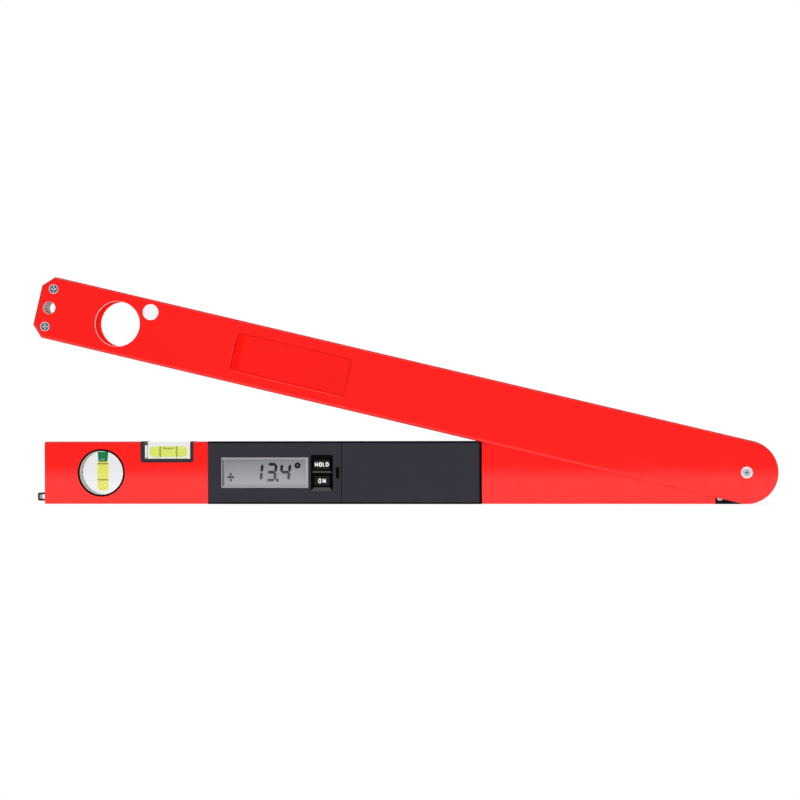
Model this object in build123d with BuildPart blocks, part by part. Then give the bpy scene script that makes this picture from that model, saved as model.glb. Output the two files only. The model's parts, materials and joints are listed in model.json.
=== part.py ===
from build123d import *

import os
from math import cos, radians, sin

os.makedirs("parts", exist_ok=True)

# Driving sizes of the two legs, in millimetres and degrees
open_angle = 13.4
arm_reach = 446.8
leg_height = 38.4
base_thickness = 17.2
tube_wall = 1.8
tube_corner = 2.2
tube_start = 19.0
plate_thickness = 2.0
plate_edge = 1.8
end_chamfer = 6.7
end_block_length = 15.0

# Clearances shared by everything that fits or moves
fit_gap = 0.1
seam_gap = 0.3
running_gap = 0.05
thread_gap = 0.05
side_gap = 0.4
end_gap = 1.0
floor_gap = 0.05
catch_gap = 0.7

# Stations along the base leg, counted from its free end
plumb_from_end = 35.3
level_from_end = 76.2
module_from_end = 101.6
cover_length = 86.1

# Catch loop on the end cap
cap_plug = 12.0
cap_skin = 2.4
cap_inset = 0.3
loop_reach = 5.2
loop_height = 5.1
loop_wall = 1.2
loop_depth = 9.0
loop_from_floor = 4.4

# Vials
ring_width = 1.2
ring_depth = 2.4
port_radius = 14.7
arm_port_lip = 0.85
plumb_inset = 0.8
plumb_vial_radius = 3.3
plumb_vial_length = 23.8
plumb_vial_rise = 0.9
stopper_length = 6.2
stopper_taper = 0.45
stopper_round = 1.3
level_width = 33.0
level_depth = 12.9
level_wall = 2.0
level_floor = 2.2
level_corner = 1.8
level_hook = 0.7
level_hook_height = 2.4
level_key = 0.6
level_inset = 0.6
level_vial_radius = 3.2
level_vial_length = 23.4
level_vial_drop = 6.3
vial_round = 2.2

# Display housing, lens and panel
seat_depth = 7.0
shell_wall = 1.8
display_front = 2.6
cover_front = 1.8
lip_depth = 2.6
lip_wall = 1.3
lens_from_end = 8.3
lens_length = 53.7
lens_margin = 9.9
lens_gap = 1.6
lens_thickness = 1.0
lens_inset = 0.2
lens_ledge = 0.4
sight_side = 1.9
sight_edge = 1.2
panel_gap = 0.5
panel_border = 1.7
panel_thickness = 2.2
strip_margin = 2.35
strip_width = 1.6
strip_height = 2.0
board_thickness = 1.6
board_gap = 0.55
chip_size = 9.0
chip_height = 1.4

# Keys and their bezel
bezel_from_joint = 5.3
bezel_width = 13.6
bezel_border = 1.85
bezel_drop = 0.35
bezel_inset = 0.1
bezel_flange = 0.6
bezel_flange_thickness = 0.8
key_border = 2.2
key_width = 9.7
key_between = 4.05
key_round = 0.5
key_inset = 0.75
key_gap = 0.2
key_flange = 0.8
key_flange_thickness = 0.7
key_travel = 0.8
mouth_margin = 1.5
funnel_depth = 1.3
switch_size = 6.0
switch_height = 1.6
stem_radius = 1.5

# Battery bay
cell_radius = 5.25
cell_length = 43.6
nub_radius = 1.9
nub_length = 0.9
cell_pitch = 11.2
tray_floor = 1.2
tray_wall = 1.2
tray_rise = 8.0
tray_foot = 9.0
contact_thickness = 0.4
contact_width = 7.0
spring_reach = 3.4
lead_radius = 0.6
lead_bend = 1.5
lead_depth = 3.0
lead_landing = 4.0
latch_width = 7.0
latch_slot = 2.1
latch_tongue = 1.4
hook_reach = 3.0
hook_thickness = 1.4
hook_width = 6.0
hook_pitch = 18.0
gate_radius = 0.6
gate_depth = 0.3
cover_edge = 0.8

# Hinge and angle sensor
plug_length = 21.0
hinge_cover_thickness = 3.0
hinge_rear_wall = 3.0
hinge_edge = 0.6
pocket_wall = 5.65
pocket_half = 7.0
pocket_reach = 34.0
channel_half = 2.2
shaft_radius = 4.0
bush_wall = 1.5
washer_thickness = 0.3
disc_gap = 2.5
disc_thickness = 0.6
disc_depth = -2.0
hub_radius = 6.2
hub_length = 2.8
sensor_board_half = 6.0
sensor_board_reach = 29.0
sensor_board_depth = 2.0
sensor_board_thickness = 1.2
sensor_gap = 0.4
sensor_length = 2.8
sensor_half = 2.5
sensor_post_at = 26.0
sensor_post_pitch = 8.6
sensor_post_radius = 1.4
cable_radius = 1.0
cable_bend = 6.0
cable_depth = 4.4
cable_landing = 6.0
cable_from_post = 3.4
cable_plug_length = 5.0
cable_plug_half = 2.5

# Window, label and holes in the arm
window_margin_keys = 2.8
window_margin_lens = 1.0
window_rise = 0.65
window_corner = 2.5
hole_edge = 0.3
hang_radius = 3.7
hang_from_end = 7.7
end_screw_edge = 7.3
label_radius = 4.9
label_thickness = 0.15
label_from_port = 18.5
label_edge = 7.45

# Screws: shank radius, head radius and length
pivot_shank = 2.0
pivot_head = 3.55
pivot_head_height = 2.4
pivot_screw_length = 8.0
end_shank = 1.5
end_head = 2.9
end_screw_length = 9.0
end_sink_margin = 0.25
module_shank = 1.1
module_head = 2.0
module_screw_length = 9.0
hinge_shank = 1.4
hinge_head = 2.5
hinge_screw_length = 8.0
cover_shank = 1.0
cover_head = 1.9
cover_screw_length = 7.0
board_shank = 0.9
board_head = 1.6
board_head_height = 1.1
board_screw_length = 4.0
boss_wall = 0.9
sink_gap = 0.05
recess_share = 0.6
recess_slot = 0.33
recess_depth = 0.9
cover_screw_side = 16.2
cover_screw_edge = 3.95
foot_rise = 7.0
foot_half = 4.0

# Levels from front to rear
base_front = -base_thickness / 2
base_rear = base_thickness / 2
inner_front = base_front + tube_wall
inner_rear = base_rear - tube_wall
plate_inner = base_rear + side_gap
plate_outer = plate_inner + plate_thickness
seat_level = base_front + seat_depth
panel_front = base_front + display_front + fit_gap
panel_rear = panel_front + panel_thickness
board_front = panel_rear + strip_height
board_rear = board_front + board_thickness
hinge_cover_rear = base_front + hinge_cover_thickness
pocket_floor = base_rear - hinge_rear_wall

# Heights from the pivot axis
leg_half = leg_height / 2
bore_half = leg_half - tube_wall
arm_half = leg_half - floor_gap
loop_drop = leg_half - loop_from_floor
lens_height = leg_height - 2 * lens_margin
panel_height = lens_height + 2 * panel_border
bezel_height = lens_height + 2 * bezel_border
key_pitch = (bezel_height - key_border) / 2
key_height = key_pitch - key_between
window_height = bezel_height + 2 * window_rise
board_height = 2 * (bore_half - seam_gap - lip_wall - board_gap)
pocket_radius = arm_half - pocket_wall
disc_radius = pocket_radius - disc_gap

# Distances from the pivot axis along either leg
base_reach = arm_reach - end_block_length - end_gap
plumb_at = base_reach - plumb_from_end
level_at = base_reach - level_from_end
module_end = base_reach - module_from_end
lens_at = module_end - lens_from_end - lens_length / 2
keys_at = lens_at - lens_length / 2 - lens_gap - bezel_width / 2
joint_at = keys_at - bezel_width / 2 - bezel_from_joint
module_start = joint_at - cover_length
module_length = module_end - module_start
module_mid = (module_end + module_start) / 2
display_length = module_end - joint_at
cover_mid = (joint_at + module_start) / 2
window_start = keys_at - bezel_width / 2 - window_margin_keys
window_end = lens_at + lens_length / 2 + window_margin_lens
hang_at = arm_reach - hang_from_end
panel_length = lens_length + 2 * (lens_gap - bezel_flange - panel_gap)
strip_length = panel_length - 2 * strip_margin
sensor_start = disc_radius - sensor_length

# The origin is the middle of the base leg's lower measuring face
pivot_x = (base_reach + tube_start) / 2
pivot_z = leg_half


def along(depth, angle=0.0):
    """Side plane of a leg: x from the pivot to the free end, y up, z to the rear."""
    turn = radians(angle)
    return Plane(origin=(pivot_x, depth, pivot_z), x_dir=(-cos(turn), 0, sin(turn)), z_dir=(0, 1, 0))


def across(distance):
    """Plane across the base leg, at a distance from the pivot: x to the front, y up."""
    return Plane(origin=(pivot_x - distance, 0, pivot_z), x_dir=(0, -1, 0), z_dir=(-1, 0, 0))


def level(distance, height):
    """Level plane over one point of the base leg."""
    return Plane(origin=(pivot_x - distance, 0, pivot_z + height), x_dir=(-1, 0, 0), z_dir=(0, 0, 1))


def facing(distance, height, depth, angle=0.0):
    """Place on a face of a leg, with z pointing out of that face."""
    out = 1 if depth > 0 else -1
    spot = along(depth, angle).from_local_coords((distance, height, 0))
    return Location(Plane(origin=spot, x_dir=(1, 0, 0), z_dir=(0, out, 0)))


def leg_profile(start, length, mode):
    """Outer shape of the base leg over one stretch, added to or kept from the open part."""
    with BuildSketch(across(start)) as profile:
        RectangleRounded(base_thickness, leg_height, tube_corner)
    extrude(profile.sketch, amount=length, mode=mode)


def cross_recess(head, top):
    """Cross recess in the screw head at each open location."""
    for turn in (0, 90):
        with Locations((0, 0, top)):
            Box(
                2 * head * recess_share,
                head * recess_slot,
                recess_depth,
                rotation=(0, 0, turn),
                align=(Align.CENTER, Align.CENTER, Align.MAX),
                mode=Mode.SUBTRACT,
            )


def sunk_screw(shank, head, length):
    """Countersunk screw, flush at each open location."""
    down = (Align.CENTER, Align.CENTER, Align.MAX)
    Cylinder(shank, length, align=down)
    Cone(shank, head, head - shank, align=down)
    cross_recess(head, 0)


def pan_screw(shank, head, head_height, length):
    """Pan-head screw, seated at each open location."""
    up = (Align.CENTER, Align.CENTER, Align.MIN)
    flat = head - head_height / 2
    Cylinder(shank, length, align=(Align.CENTER, Align.CENTER, Align.MAX))
    Cylinder(head, head_height / 2, align=up)
    with Locations((0, 0, head_height / 2)):
        Cone(head, flat, head_height / 2, align=up)
    cross_recess(flat, head_height)


def sunk_hole(shank, head, depth):
    """Countersunk clearance hole for such a screw at each open location."""
    CounterSinkHole(shank + thread_gap, head + sink_gap, depth=depth, counter_sink_angle=90)


# Places of the screws
boss_radius = module_shank + boss_wall
boss_rise = bore_half - boss_radius - lip_wall / 2
boss_high = module_end - shell_wall - boss_radius - seam_gap
boss_low = joint_at + shell_wall + boss_radius + 2 * seam_gap
tray_inner = cell_length + nub_length + spring_reach + 2 * contact_thickness
tray_start = cover_mid - tray_inner / 2
tray_end = cover_mid + tray_inner / 2
foot_spots = [
    (tray_start - tray_wall - tray_foot / 2, 0),
    (tray_end + tray_wall + tray_foot / 2, 0),
]
boss_spots = [(u, v) for u in (boss_low, boss_high) for v in (boss_rise, -boss_rise)]
board_low = boss_low + boss_radius + fit_gap
board_high = boss_high - boss_radius - fit_gap
post_radius = board_shank + boss_wall
post_rise = panel_height / 2 + post_radius + fit_gap
cable_landing_drop = post_rise - cable_from_post
post_low = keys_at + bezel_width / 2 + bezel_flange + post_radius
post_spots = [(u, v) for u in (post_low, board_high - 2 * post_radius) for v in (post_rise, -post_rise)]
plug_mid = tube_start + plug_length * 3 / 4
hinge_screw_rise = (bore_half + channel_half) / 2
hinge_spots = [(plug_mid, hinge_screw_rise), (plug_mid, -hinge_screw_rise)]
cover_screw_rise = arm_half - cover_screw_edge
cover_spots = [
    (cover_screw_side, cover_screw_rise),
    (cover_screw_side, -cover_screw_rise),
    (-(pocket_radius + arm_half) / 2, 0),
]
end_screw_rise = arm_half - end_screw_edge
end_spots = [(hang_at, end_screw_rise), (hang_at, -end_screw_rise)]
outer_sides = (-plate_outer, plate_outer)
inner_sides = (-plate_inner, plate_inner)

# Base tube
with BuildPart() as base_tube:
    leg_profile(tube_start, base_reach - tube_start, Mode.ADD)
    with BuildSketch(across(tube_start)):
        Rectangle(base_thickness - 2 * tube_wall, leg_height - 2 * tube_wall)
    extrude(amount=base_reach - tube_start, mode=Mode.SUBTRACT)
    with BuildSketch(along(base_front)):
        with Locations((module_mid, 0)):
            Rectangle(module_length, leg_height + tube_wall)
    extrude(amount=seat_depth, mode=Mode.SUBTRACT)
    with BuildSketch(along(base_front)):
        with Locations((plumb_at, 0)):
            Circle(port_radius)
    extrude(amount=base_thickness, mode=Mode.SUBTRACT)
    with BuildSketch(along(base_front)) as notch:
        with Locations((level_at, leg_half)):
            Rectangle(level_width, 2 * level_depth)
        fillet(notch.vertices().group_by(Axis.Y)[0], level_corner)
    extrude(amount=base_thickness, mode=Mode.SUBTRACT)
    with Locations(*[facing(u, v, base_rear) for u, v in boss_spots + foot_spots]):
        sunk_hole(module_shank, module_head, 2 * tube_wall)
    with Locations(*[facing(u, v, base_rear) for u, v in hinge_spots]):
        sunk_hole(hinge_shank, hinge_head, 2 * tube_wall)
base_tube.part.label = "base_tube"
export_step(base_tube.part, "parts/base_tube.step")

# End cap with its catch loop
with BuildPart() as end_cap:
    with BuildSketch(across(base_reach - cap_inset - cap_plug)) as cap_section:
        Rectangle(base_thickness - 2 * (tube_wall + fit_gap), leg_height - 2 * (tube_wall + fit_gap))
    extrude(amount=cap_plug)
    with BuildSketch(across(base_reach - cap_inset - cap_plug)):
        add(cap_section.sketch_local)
        offset(amount=-cap_skin, mode=Mode.REPLACE)
    extrude(amount=cap_plug - cap_skin, mode=Mode.SUBTRACT)
    with BuildSketch(along(-loop_depth / 2)) as loop:
        with Locations((base_reach - cap_inset, -loop_drop)):
            Rectangle(loop_reach + cap_inset, loop_height, align=(Align.MIN, Align.CENTER))
        fillet(loop.vertices().group_by(Axis.X)[-1], loop_wall)
        with Locations((base_reach - cap_inset, -loop_drop)):
            Rectangle(
                loop_reach + cap_inset - loop_wall,
                loop_height - 2 * loop_wall,
                align=(Align.MIN, Align.CENTER),
                mode=Mode.SUBTRACT,
            )
    extrude(amount=loop_depth)
end_cap.part.label = "end_cap"
export_step(end_cap.part, "parts/end_cap.step")

# Plumb vial: black rings, pale sleeve, clear block, liquid and stopper
ring_outer = port_radius - fit_gap / 2
plumb_vial_bottom = plumb_vial_rise - plumb_vial_length / 2
stopper_top = plumb_vial_bottom + plumb_vial_length
ring_inner = port_radius - ring_width
with BuildPart() as plumb_vial_rings:
    for depth in (base_front, base_rear - ring_depth):
        with BuildSketch(along(depth)):
            with Locations((plumb_at, 0)):
                Circle(ring_outer)
                Circle(ring_inner, mode=Mode.SUBTRACT)
        extrude(amount=ring_depth)
plumb_vial_rings.part.label = "plumb_vial_rings"
export_step(plumb_vial_rings.part, "parts/plumb_vial_rings.step")

with BuildPart() as plumb_vial_sleeve:
    with BuildSketch(along(base_front + ring_depth)):
        with Locations((plumb_at, 0)):
            Circle(ring_outer)
            Circle(ring_inner, mode=Mode.SUBTRACT)
    extrude(amount=base_thickness - 2 * ring_depth)
plumb_vial_sleeve.part.label = "plumb_vial_sleeve"
export_step(plumb_vial_sleeve.part, "parts/plumb_vial_sleeve.step")

with BuildPart() as plumb_vial_block:
    with BuildSketch(along(base_front + plumb_inset)):
        with Locations((plumb_at, 0)):
            Circle(ring_inner - fit_gap / 2)
    extrude(amount=base_thickness - 2 * plumb_inset)
    with BuildSketch(level(plumb_at, plumb_vial_bottom - fit_gap / 2)):
        Circle(plumb_vial_radius + fit_gap / 2)
    extrude(amount=plumb_vial_length + ring_inner, mode=Mode.SUBTRACT)
plumb_vial_block.part.label = "plumb_vial_block"
export_step(plumb_vial_block.part, "parts/plumb_vial_block.step")

with BuildPart() as plumb_vial:
    with BuildSketch(level(plumb_at, plumb_vial_bottom)):
        Circle(plumb_vial_radius)
    extrude(amount=plumb_vial_length - stopper_length - fit_gap)
    fillet(plumb_vial.edges().group_by(Axis.Z)[0], vial_round)
plumb_vial.part.label = "plumb_vial"
export_step(plumb_vial.part, "parts/plumb_vial.step")

with BuildPart() as plumb_vial_stopper:
    with BuildSketch(level(plumb_at, stopper_top - stopper_length)):
        Circle(plumb_vial_radius - stopper_taper)
    with BuildSketch(level(plumb_at, stopper_top)):
        Circle(plumb_vial_radius)
    loft()
    fillet(plumb_vial_stopper.edges().group_by(Axis.Z)[0], stopper_round)
plumb_vial_stopper.part.label = "plumb_vial_stopper"
export_step(plumb_vial_stopper.part, "parts/plumb_vial_stopper.step")

# Level vial: black frame, clear block and liquid
level_inner = level_width - 2 * (fit_gap + level_wall)
level_bottom = leg_half - level_depth + fit_gap
hook_rise = leg_half - level_hook_height
with BuildPart() as level_vial_frame:
    with BuildSketch(along(base_front)) as frame:
        with Locations((level_at, level_bottom)):
            Rectangle(level_width - 2 * fit_gap, level_depth, align=(Align.CENTER, Align.MIN))
        fillet(frame.vertices().group_by(Axis.Y)[0], level_corner)
        with Locations((level_at, level_bottom + level_floor)):
            Rectangle(level_inner, level_depth, align=(Align.CENTER, Align.MIN), mode=Mode.SUBTRACT)
        with Locations((level_at + level_inner / 2, hook_rise)):
            Rectangle(level_hook, level_hook_height, align=(Align.MAX, Align.MIN))
        with Locations((level_at + level_inner / 2, level_bottom + level_floor)):
            Rectangle(level_key, level_key, align=(Align.MAX, Align.MIN))
    extrude(amount=base_thickness)
    leg_profile(level_at - level_width / 2, level_width, Mode.INTERSECT)
level_vial_frame.part.label = "level_vial_frame"
export_step(level_vial_frame.part, "parts/level_vial_frame.step")

with BuildPart() as level_vial_block:
    with BuildSketch(along(base_front + level_inset)):
        with Locations((level_at, level_bottom + level_floor)):
            Rectangle(level_inner - fit_gap, level_depth, align=(Align.CENTER, Align.MIN))
        with Locations((level_at + level_inner / 2, hook_rise - fit_gap)):
            Rectangle(
                level_hook + fit_gap,
                level_depth,
                align=(Align.MAX, Align.MIN),
                mode=Mode.SUBTRACT,
            )
        with Locations((level_at + level_inner / 2, level_bottom + level_floor)):
            Rectangle(
                level_key + fit_gap,
                level_key + fit_gap,
                align=(Align.MAX, Align.MIN),
                mode=Mode.SUBTRACT,
            )
    extrude(amount=base_thickness - 2 * level_inset)
    leg_profile(level_at - level_width / 2, level_width, Mode.INTERSECT)
    with BuildSketch(across(level_at - level_inner / 2)):
        with Locations((0, leg_half - level_vial_drop)):
            Circle(level_vial_radius + fit_gap / 2)
    extrude(amount=(level_inner + level_vial_length + fit_gap) / 2, mode=Mode.SUBTRACT)
level_vial_block.part.label = "level_vial_block"
export_step(level_vial_block.part, "parts/level_vial_block.step")

with BuildPart() as level_vial:
    with BuildSketch(across(level_at - level_vial_length / 2)):
        with Locations((0, leg_half - level_vial_drop)):
            Circle(level_vial_radius)
    extrude(amount=level_vial_length)
    fillet(level_vial.edges().filter_by(GeomType.CIRCLE), vial_round)
level_vial.part.label = "level_vial"
export_step(level_vial.part, "parts/level_vial.step")


def shell(start, length, front):
    """Open-backed cover flush with the tube, with lips that reach inside its top and bottom walls."""
    leg_profile(start, length, Mode.ADD)
    lip_half = bore_half - seam_gap
    with BuildSketch(along(seat_level - fit_gap)) as around_lips:
        with Locations((start + length / 2, 0)):
            Rectangle(length, leg_height + tube_wall)
            Rectangle(length - 2 * shell_wall, 2 * lip_half, mode=Mode.SUBTRACT)
    extrude(around_lips.sketch, amount=base_thickness, mode=Mode.SUBTRACT)
    with BuildSketch(along(seat_level + lip_depth)) as behind_lips:
        with Locations((start + length / 2, 0)):
            Rectangle(length, leg_height)
    extrude(behind_lips.sketch, amount=base_thickness, mode=Mode.SUBTRACT)
    with BuildSketch(along(base_front + front)) as hollow:
        with Locations((start + length / 2, 0)):
            Rectangle(length - 2 * shell_wall, 2 * (lip_half - lip_wall))
    extrude(hollow.sketch, amount=base_thickness, mode=Mode.SUBTRACT)


# Display housing
with BuildPart() as display_housing:
    shell(joint_at + seam_gap / 2, display_length - seam_gap, display_front)
    with BuildSketch(along(base_front + display_front)):
        with Locations(*boss_spots):
            Circle(boss_radius)
    extrude(amount=inner_rear - fit_gap - base_front - display_front)
    with BuildSketch(along(base_front + display_front)):
        with Locations(*post_spots):
            Circle(post_radius)
    extrude(amount=board_front - base_front - display_front)
    with BuildSketch(along(base_front)):
        with Locations((lens_at, 0)):
            Rectangle(lens_length, lens_height)
    extrude(amount=lens_inset + lens_thickness, mode=Mode.SUBTRACT)
    with BuildSketch(along(base_front + lens_inset + lens_thickness)):
        with Locations((lens_at, 0)):
            Rectangle(lens_length - 2 * lens_ledge, lens_height - 2 * lens_ledge)
    with BuildSketch(along(base_front + display_front)):
        with Locations((lens_at, 0)):
            Rectangle(lens_length - 2 * sight_side, lens_height - 2 * sight_edge)
    loft(mode=Mode.SUBTRACT)
    with BuildSketch(along(base_front)):
        with Locations((keys_at, -bezel_drop)):
            Rectangle(bezel_width + 2 * fit_gap, bezel_height + 2 * fit_gap)
    extrude(amount=display_front, mode=Mode.SUBTRACT)
    with BuildSketch(along(base_front)):
        with Locations((joint_at, 0)):
            Rectangle(2 * (latch_tongue + latch_slot), latch_width)
    extrude(amount=display_front, mode=Mode.SUBTRACT)
    with Locations(*[facing(u, v, inner_rear - fit_gap) for u, v in boss_spots]):
        Hole(module_shank + thread_gap, depth=module_screw_length)
    with Locations(*[facing(u, v, board_rear) for u, v in post_spots]):
        Hole(board_shank + thread_gap, depth=board_screw_length + thread_gap)
display_housing.part.label = "display_housing"
export_step(display_housing.part, "parts/display_housing.step")

# Lens, panel and the two conductive strips under it
with BuildPart() as display_lens:
    with BuildSketch(along(base_front + lens_inset)):
        with Locations((lens_at, 0)):
            Rectangle(lens_length - fit_gap, lens_height - fit_gap)
    extrude(amount=lens_thickness)
display_lens.part.label = "display_lens"
export_step(display_lens.part, "parts/display_lens.step")

with BuildPart() as lcd_panel:
    with BuildSketch(along(panel_front)):
        with Locations((lens_at, 0)):
            Rectangle(panel_length, panel_height)
    extrude(amount=panel_thickness)
lcd_panel.part.label = "lcd_panel"
export_step(lcd_panel.part, "parts/lcd_panel.step")

with BuildPart() as lcd_strips:
    with BuildSketch(along(panel_rear)):
        with Locations((lens_at, 0)):
            with GridLocations(strip_length, panel_height - 2 * strip_width, 1, 2):
                Rectangle(strip_length, strip_width)
    extrude(amount=strip_height)
lcd_strips.part.label = "lcd_strips"
export_step(lcd_strips.part, "parts/lcd_strips.step")

# Key bezel with two funnel pockets
bezel_rear = base_front + display_front + bezel_flange_thickness
key_spots = [(keys_at, key_pitch / 2), (keys_at, -key_pitch / 2)]
with BuildPart() as key_bezel:
    with BuildSketch(along(base_front + bezel_inset)):
        with Locations((keys_at, -bezel_drop)):
            Rectangle(bezel_width, bezel_height)
    extrude(amount=bezel_rear - base_front - bezel_inset)
    with BuildSketch(along(base_front + display_front)):
        with Locations((keys_at, -bezel_drop)):
            Rectangle(bezel_width + 2 * bezel_flange, bezel_height + 2 * bezel_flange)
    extrude(amount=bezel_flange_thickness)
    for spot in key_spots:
        with BuildSketch(along(base_front + bezel_inset)):
            with Locations(spot):
                Rectangle(key_width + 2 * mouth_margin, key_height + 2 * mouth_margin)
        with BuildSketch(along(base_front + bezel_inset + funnel_depth)):
            with Locations(spot):
                Rectangle(key_width + 2 * key_gap, key_height + 2 * key_gap)
        loft(mode=Mode.SUBTRACT)
    with BuildSketch(along(base_front)):
        with Locations(*key_spots):
            Rectangle(key_width + 2 * key_gap, key_height + 2 * key_gap)
    extrude(amount=bezel_rear - base_front, mode=Mode.SUBTRACT)
key_bezel.part.label = "key_bezel"
export_step(key_bezel.part, "parts/key_bezel.step")

# The two keys: face, flange behind the bezel and stem over the switch
switch_top = board_front - switch_height
stem_end = switch_top - key_travel - fit_gap
for key_name, spot in zip(("hold_button", "on_button"), key_spots):
    with BuildPart() as button:
        with BuildSketch(along(base_front + key_inset)):
            with Locations(spot):
                Rectangle(key_width, key_height)
        extrude(amount=bezel_rear + fit_gap - base_front - key_inset)
        fillet(button.faces().sort_by(Axis.Y)[0].edges(), key_round)
        with BuildSketch(along(bezel_rear + fit_gap)):
            with Locations(spot):
                Rectangle(key_width + 2 * key_flange, key_height + 2 * key_flange)
        extrude(amount=key_flange_thickness)
        with BuildSketch(along(bezel_rear + fit_gap)):
            with Locations(spot):
                Circle(stem_radius)
        extrude(amount=stem_end - bezel_rear - fit_gap)
    button.part.label = key_name
    export_step(button.part, f"parts/{key_name}.step")

# Main board with its switches, chip and screws
with BuildPart() as main_board:
    with BuildSketch(along(board_front)):
        with Locations(((board_low + board_high) / 2, 0)):
            Rectangle(board_high - board_low, board_height)
        with Locations(*post_spots):
            Circle(board_shank + thread_gap, mode=Mode.SUBTRACT)
    extrude(amount=board_thickness)
main_board.part.label = "main_board"
export_step(main_board.part, "parts/main_board.step")

with BuildPart() as key_switches:
    with BuildSketch(along(switch_top)):
        with Locations(*key_spots):
            Rectangle(switch_size, switch_size)
    extrude(amount=switch_height)
key_switches.part.label = "key_switches"
export_step(key_switches.part, "parts/key_switches.step")

with BuildPart() as controller_chip:
    with BuildSketch(along(board_rear)):
        with Locations((lens_at, 0)):
            Rectangle(chip_size, chip_size)
    extrude(amount=chip_height)
controller_chip.part.label = "controller_chip"
export_step(controller_chip.part, "parts/controller_chip.step")

with BuildPart() as board_screws:
    with Locations(*[facing(u, v, base_rear) for u, v in post_spots]):
        with Locations((0, 0, board_rear - base_rear)):
            pan_screw(board_shank, board_head, board_head_height, board_screw_length)
board_screws.part.label = "board_screws"
export_step(board_screws.part, "parts/board_screws.step")

# Screws through the rear wall of the tube
with BuildPart() as module_screws:
    with Locations(*[facing(u, v, base_rear) for u, v in boss_spots + foot_spots]):
        sunk_screw(module_shank, module_head, module_screw_length)
module_screws.part.label = "module_screws"
export_step(module_screws.part, "parts/module_screws.step")

# Battery tray
tray_front = inner_rear - fit_gap - tray_floor
tray_half = cell_pitch / 2 + cell_radius + fit_gap + tray_wall
tray_outer = tray_inner + 2 * tray_wall
cell_rise = cell_pitch / 2
with BuildPart() as battery_tray:
    with BuildSketch(along(tray_front)):
        with Locations((cover_mid, 0)):
            Rectangle(tray_outer, 2 * tray_half)
            Rectangle(tray_outer + 2 * tray_foot, 2 * foot_half)
    extrude(amount=tray_floor)
    with BuildSketch(along(tray_front)):
        with Locations((cover_mid, 0)):
            Rectangle(tray_outer, 2 * tray_half)
            Rectangle(tray_inner, 2 * (tray_half - tray_wall), mode=Mode.SUBTRACT)
    extrude(amount=-tray_rise)
    with BuildSketch(along(tray_front)):
        with Locations(*foot_spots):
            Circle(boss_radius)
    extrude(amount=-foot_rise)
    with Locations(*[facing(u, v, tray_front + tray_floor) for u, v in foot_spots]):
        Hole(module_shank + thread_gap, depth=module_screw_length)
    with BuildSketch(across(tray_end)):
        with Locations((-lead_depth, cell_rise), (-lead_depth, -cell_rise)):
            Circle(lead_radius + thread_gap)
    extrude(amount=tray_wall, mode=Mode.SUBTRACT)
battery_tray.part.label = "battery_tray"
export_step(battery_tray.part, "parts/battery_tray.step")

# Two cells, lying opposite ways
cell_depth = tray_front - fit_gap / 2 - cell_radius
cell_slack = contact_thickness + fit_gap / 2
upper_start = tray_end - cell_slack - nub_length - cell_length
lower_start = tray_start + cell_slack + nub_length
with BuildPart() as battery_cells:
    for start, rise in ((upper_start, cell_rise), (lower_start, -cell_rise)):
        with BuildSketch(across(start)):
            with Locations((-cell_depth, rise)):
                Circle(cell_radius)
        extrude(amount=cell_length)
    with BuildSketch(across(upper_start + cell_length)):
        with Locations((-cell_depth, cell_rise)):
            Circle(nub_radius)
    extrude(amount=nub_length)
    with BuildSketch(across(lower_start - nub_length)):
        with Locations((-cell_depth, -cell_rise)):
            Circle(nub_radius)
    extrude(amount=nub_length)
battery_cells.part.label = "battery_cells"
export_step(battery_cells.part, "parts/battery_cells.step")


def contact_plate(wall, inward, rise, width):
    """Flat contact on one end wall of the tray; inward is 1 or -1 along the leg."""
    with BuildSketch(across(wall)) as plate:
        with Locations((-cell_depth, rise)):
            Rectangle(2 * cell_radius - contact_width / 2, width)
    extrude(plate.sketch, amount=inward * contact_thickness)


def contact_spring(wall, inward, rise):
    """Bent leaf on that contact, reaching to the flat end of a cell."""
    tip = spring_reach + contact_thickness - fit_gap
    foot = contact_thickness / 2
    with BuildSketch(level(wall, rise - contact_width / 4)) as leaf:
        with BuildLine():
            Polyline(
                (inward * foot, -cell_depth + cell_radius / 2),
                (inward * (tip - contact_thickness), -cell_depth),
                (inward * foot, -cell_depth - cell_radius / 2),
            )
        trace(line_width=contact_thickness)
    extrude(leaf.sketch, amount=contact_width / 2)


with BuildPart() as bridge_contact:
    contact_plate(tray_start, 1, 0, cell_pitch + contact_width)
    contact_spring(tray_start, 1, cell_rise)
bridge_contact.part.label = "bridge_contact"
export_step(bridge_contact.part, "parts/bridge_contact.step")

with BuildPart() as positive_contact:
    contact_plate(tray_end, -1, cell_rise, contact_width)
positive_contact.part.label = "positive_contact"
export_step(positive_contact.part, "parts/positive_contact.step")

with BuildPart() as negative_contact:
    contact_plate(tray_end, -1, -cell_rise, contact_width)
    contact_spring(tray_end, -1, -cell_rise)
negative_contact.part.label = "negative_contact"
export_step(negative_contact.part, "parts/negative_contact.step")

# Leads from the contacts to the main board
with BuildPart() as power_leads:
    for rise in (cell_rise, -cell_rise):
        with BuildLine(level(0, rise)) as lead:
            FilletPolyline(
                (tray_end + thread_gap, -lead_depth),
                (board_low + lead_landing, -lead_depth),
                (board_low + lead_landing, -board_rear - thread_gap),
                radius=lead_bend,
            )
        with BuildSketch(Plane(origin=lead.line @ 0, z_dir=lead.line % 0)):
            Circle(lead_radius)
        sweep(path=lead.line)
power_leads.part.label = "power_leads"
export_step(power_leads.part, "parts/power_leads.step")

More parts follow.
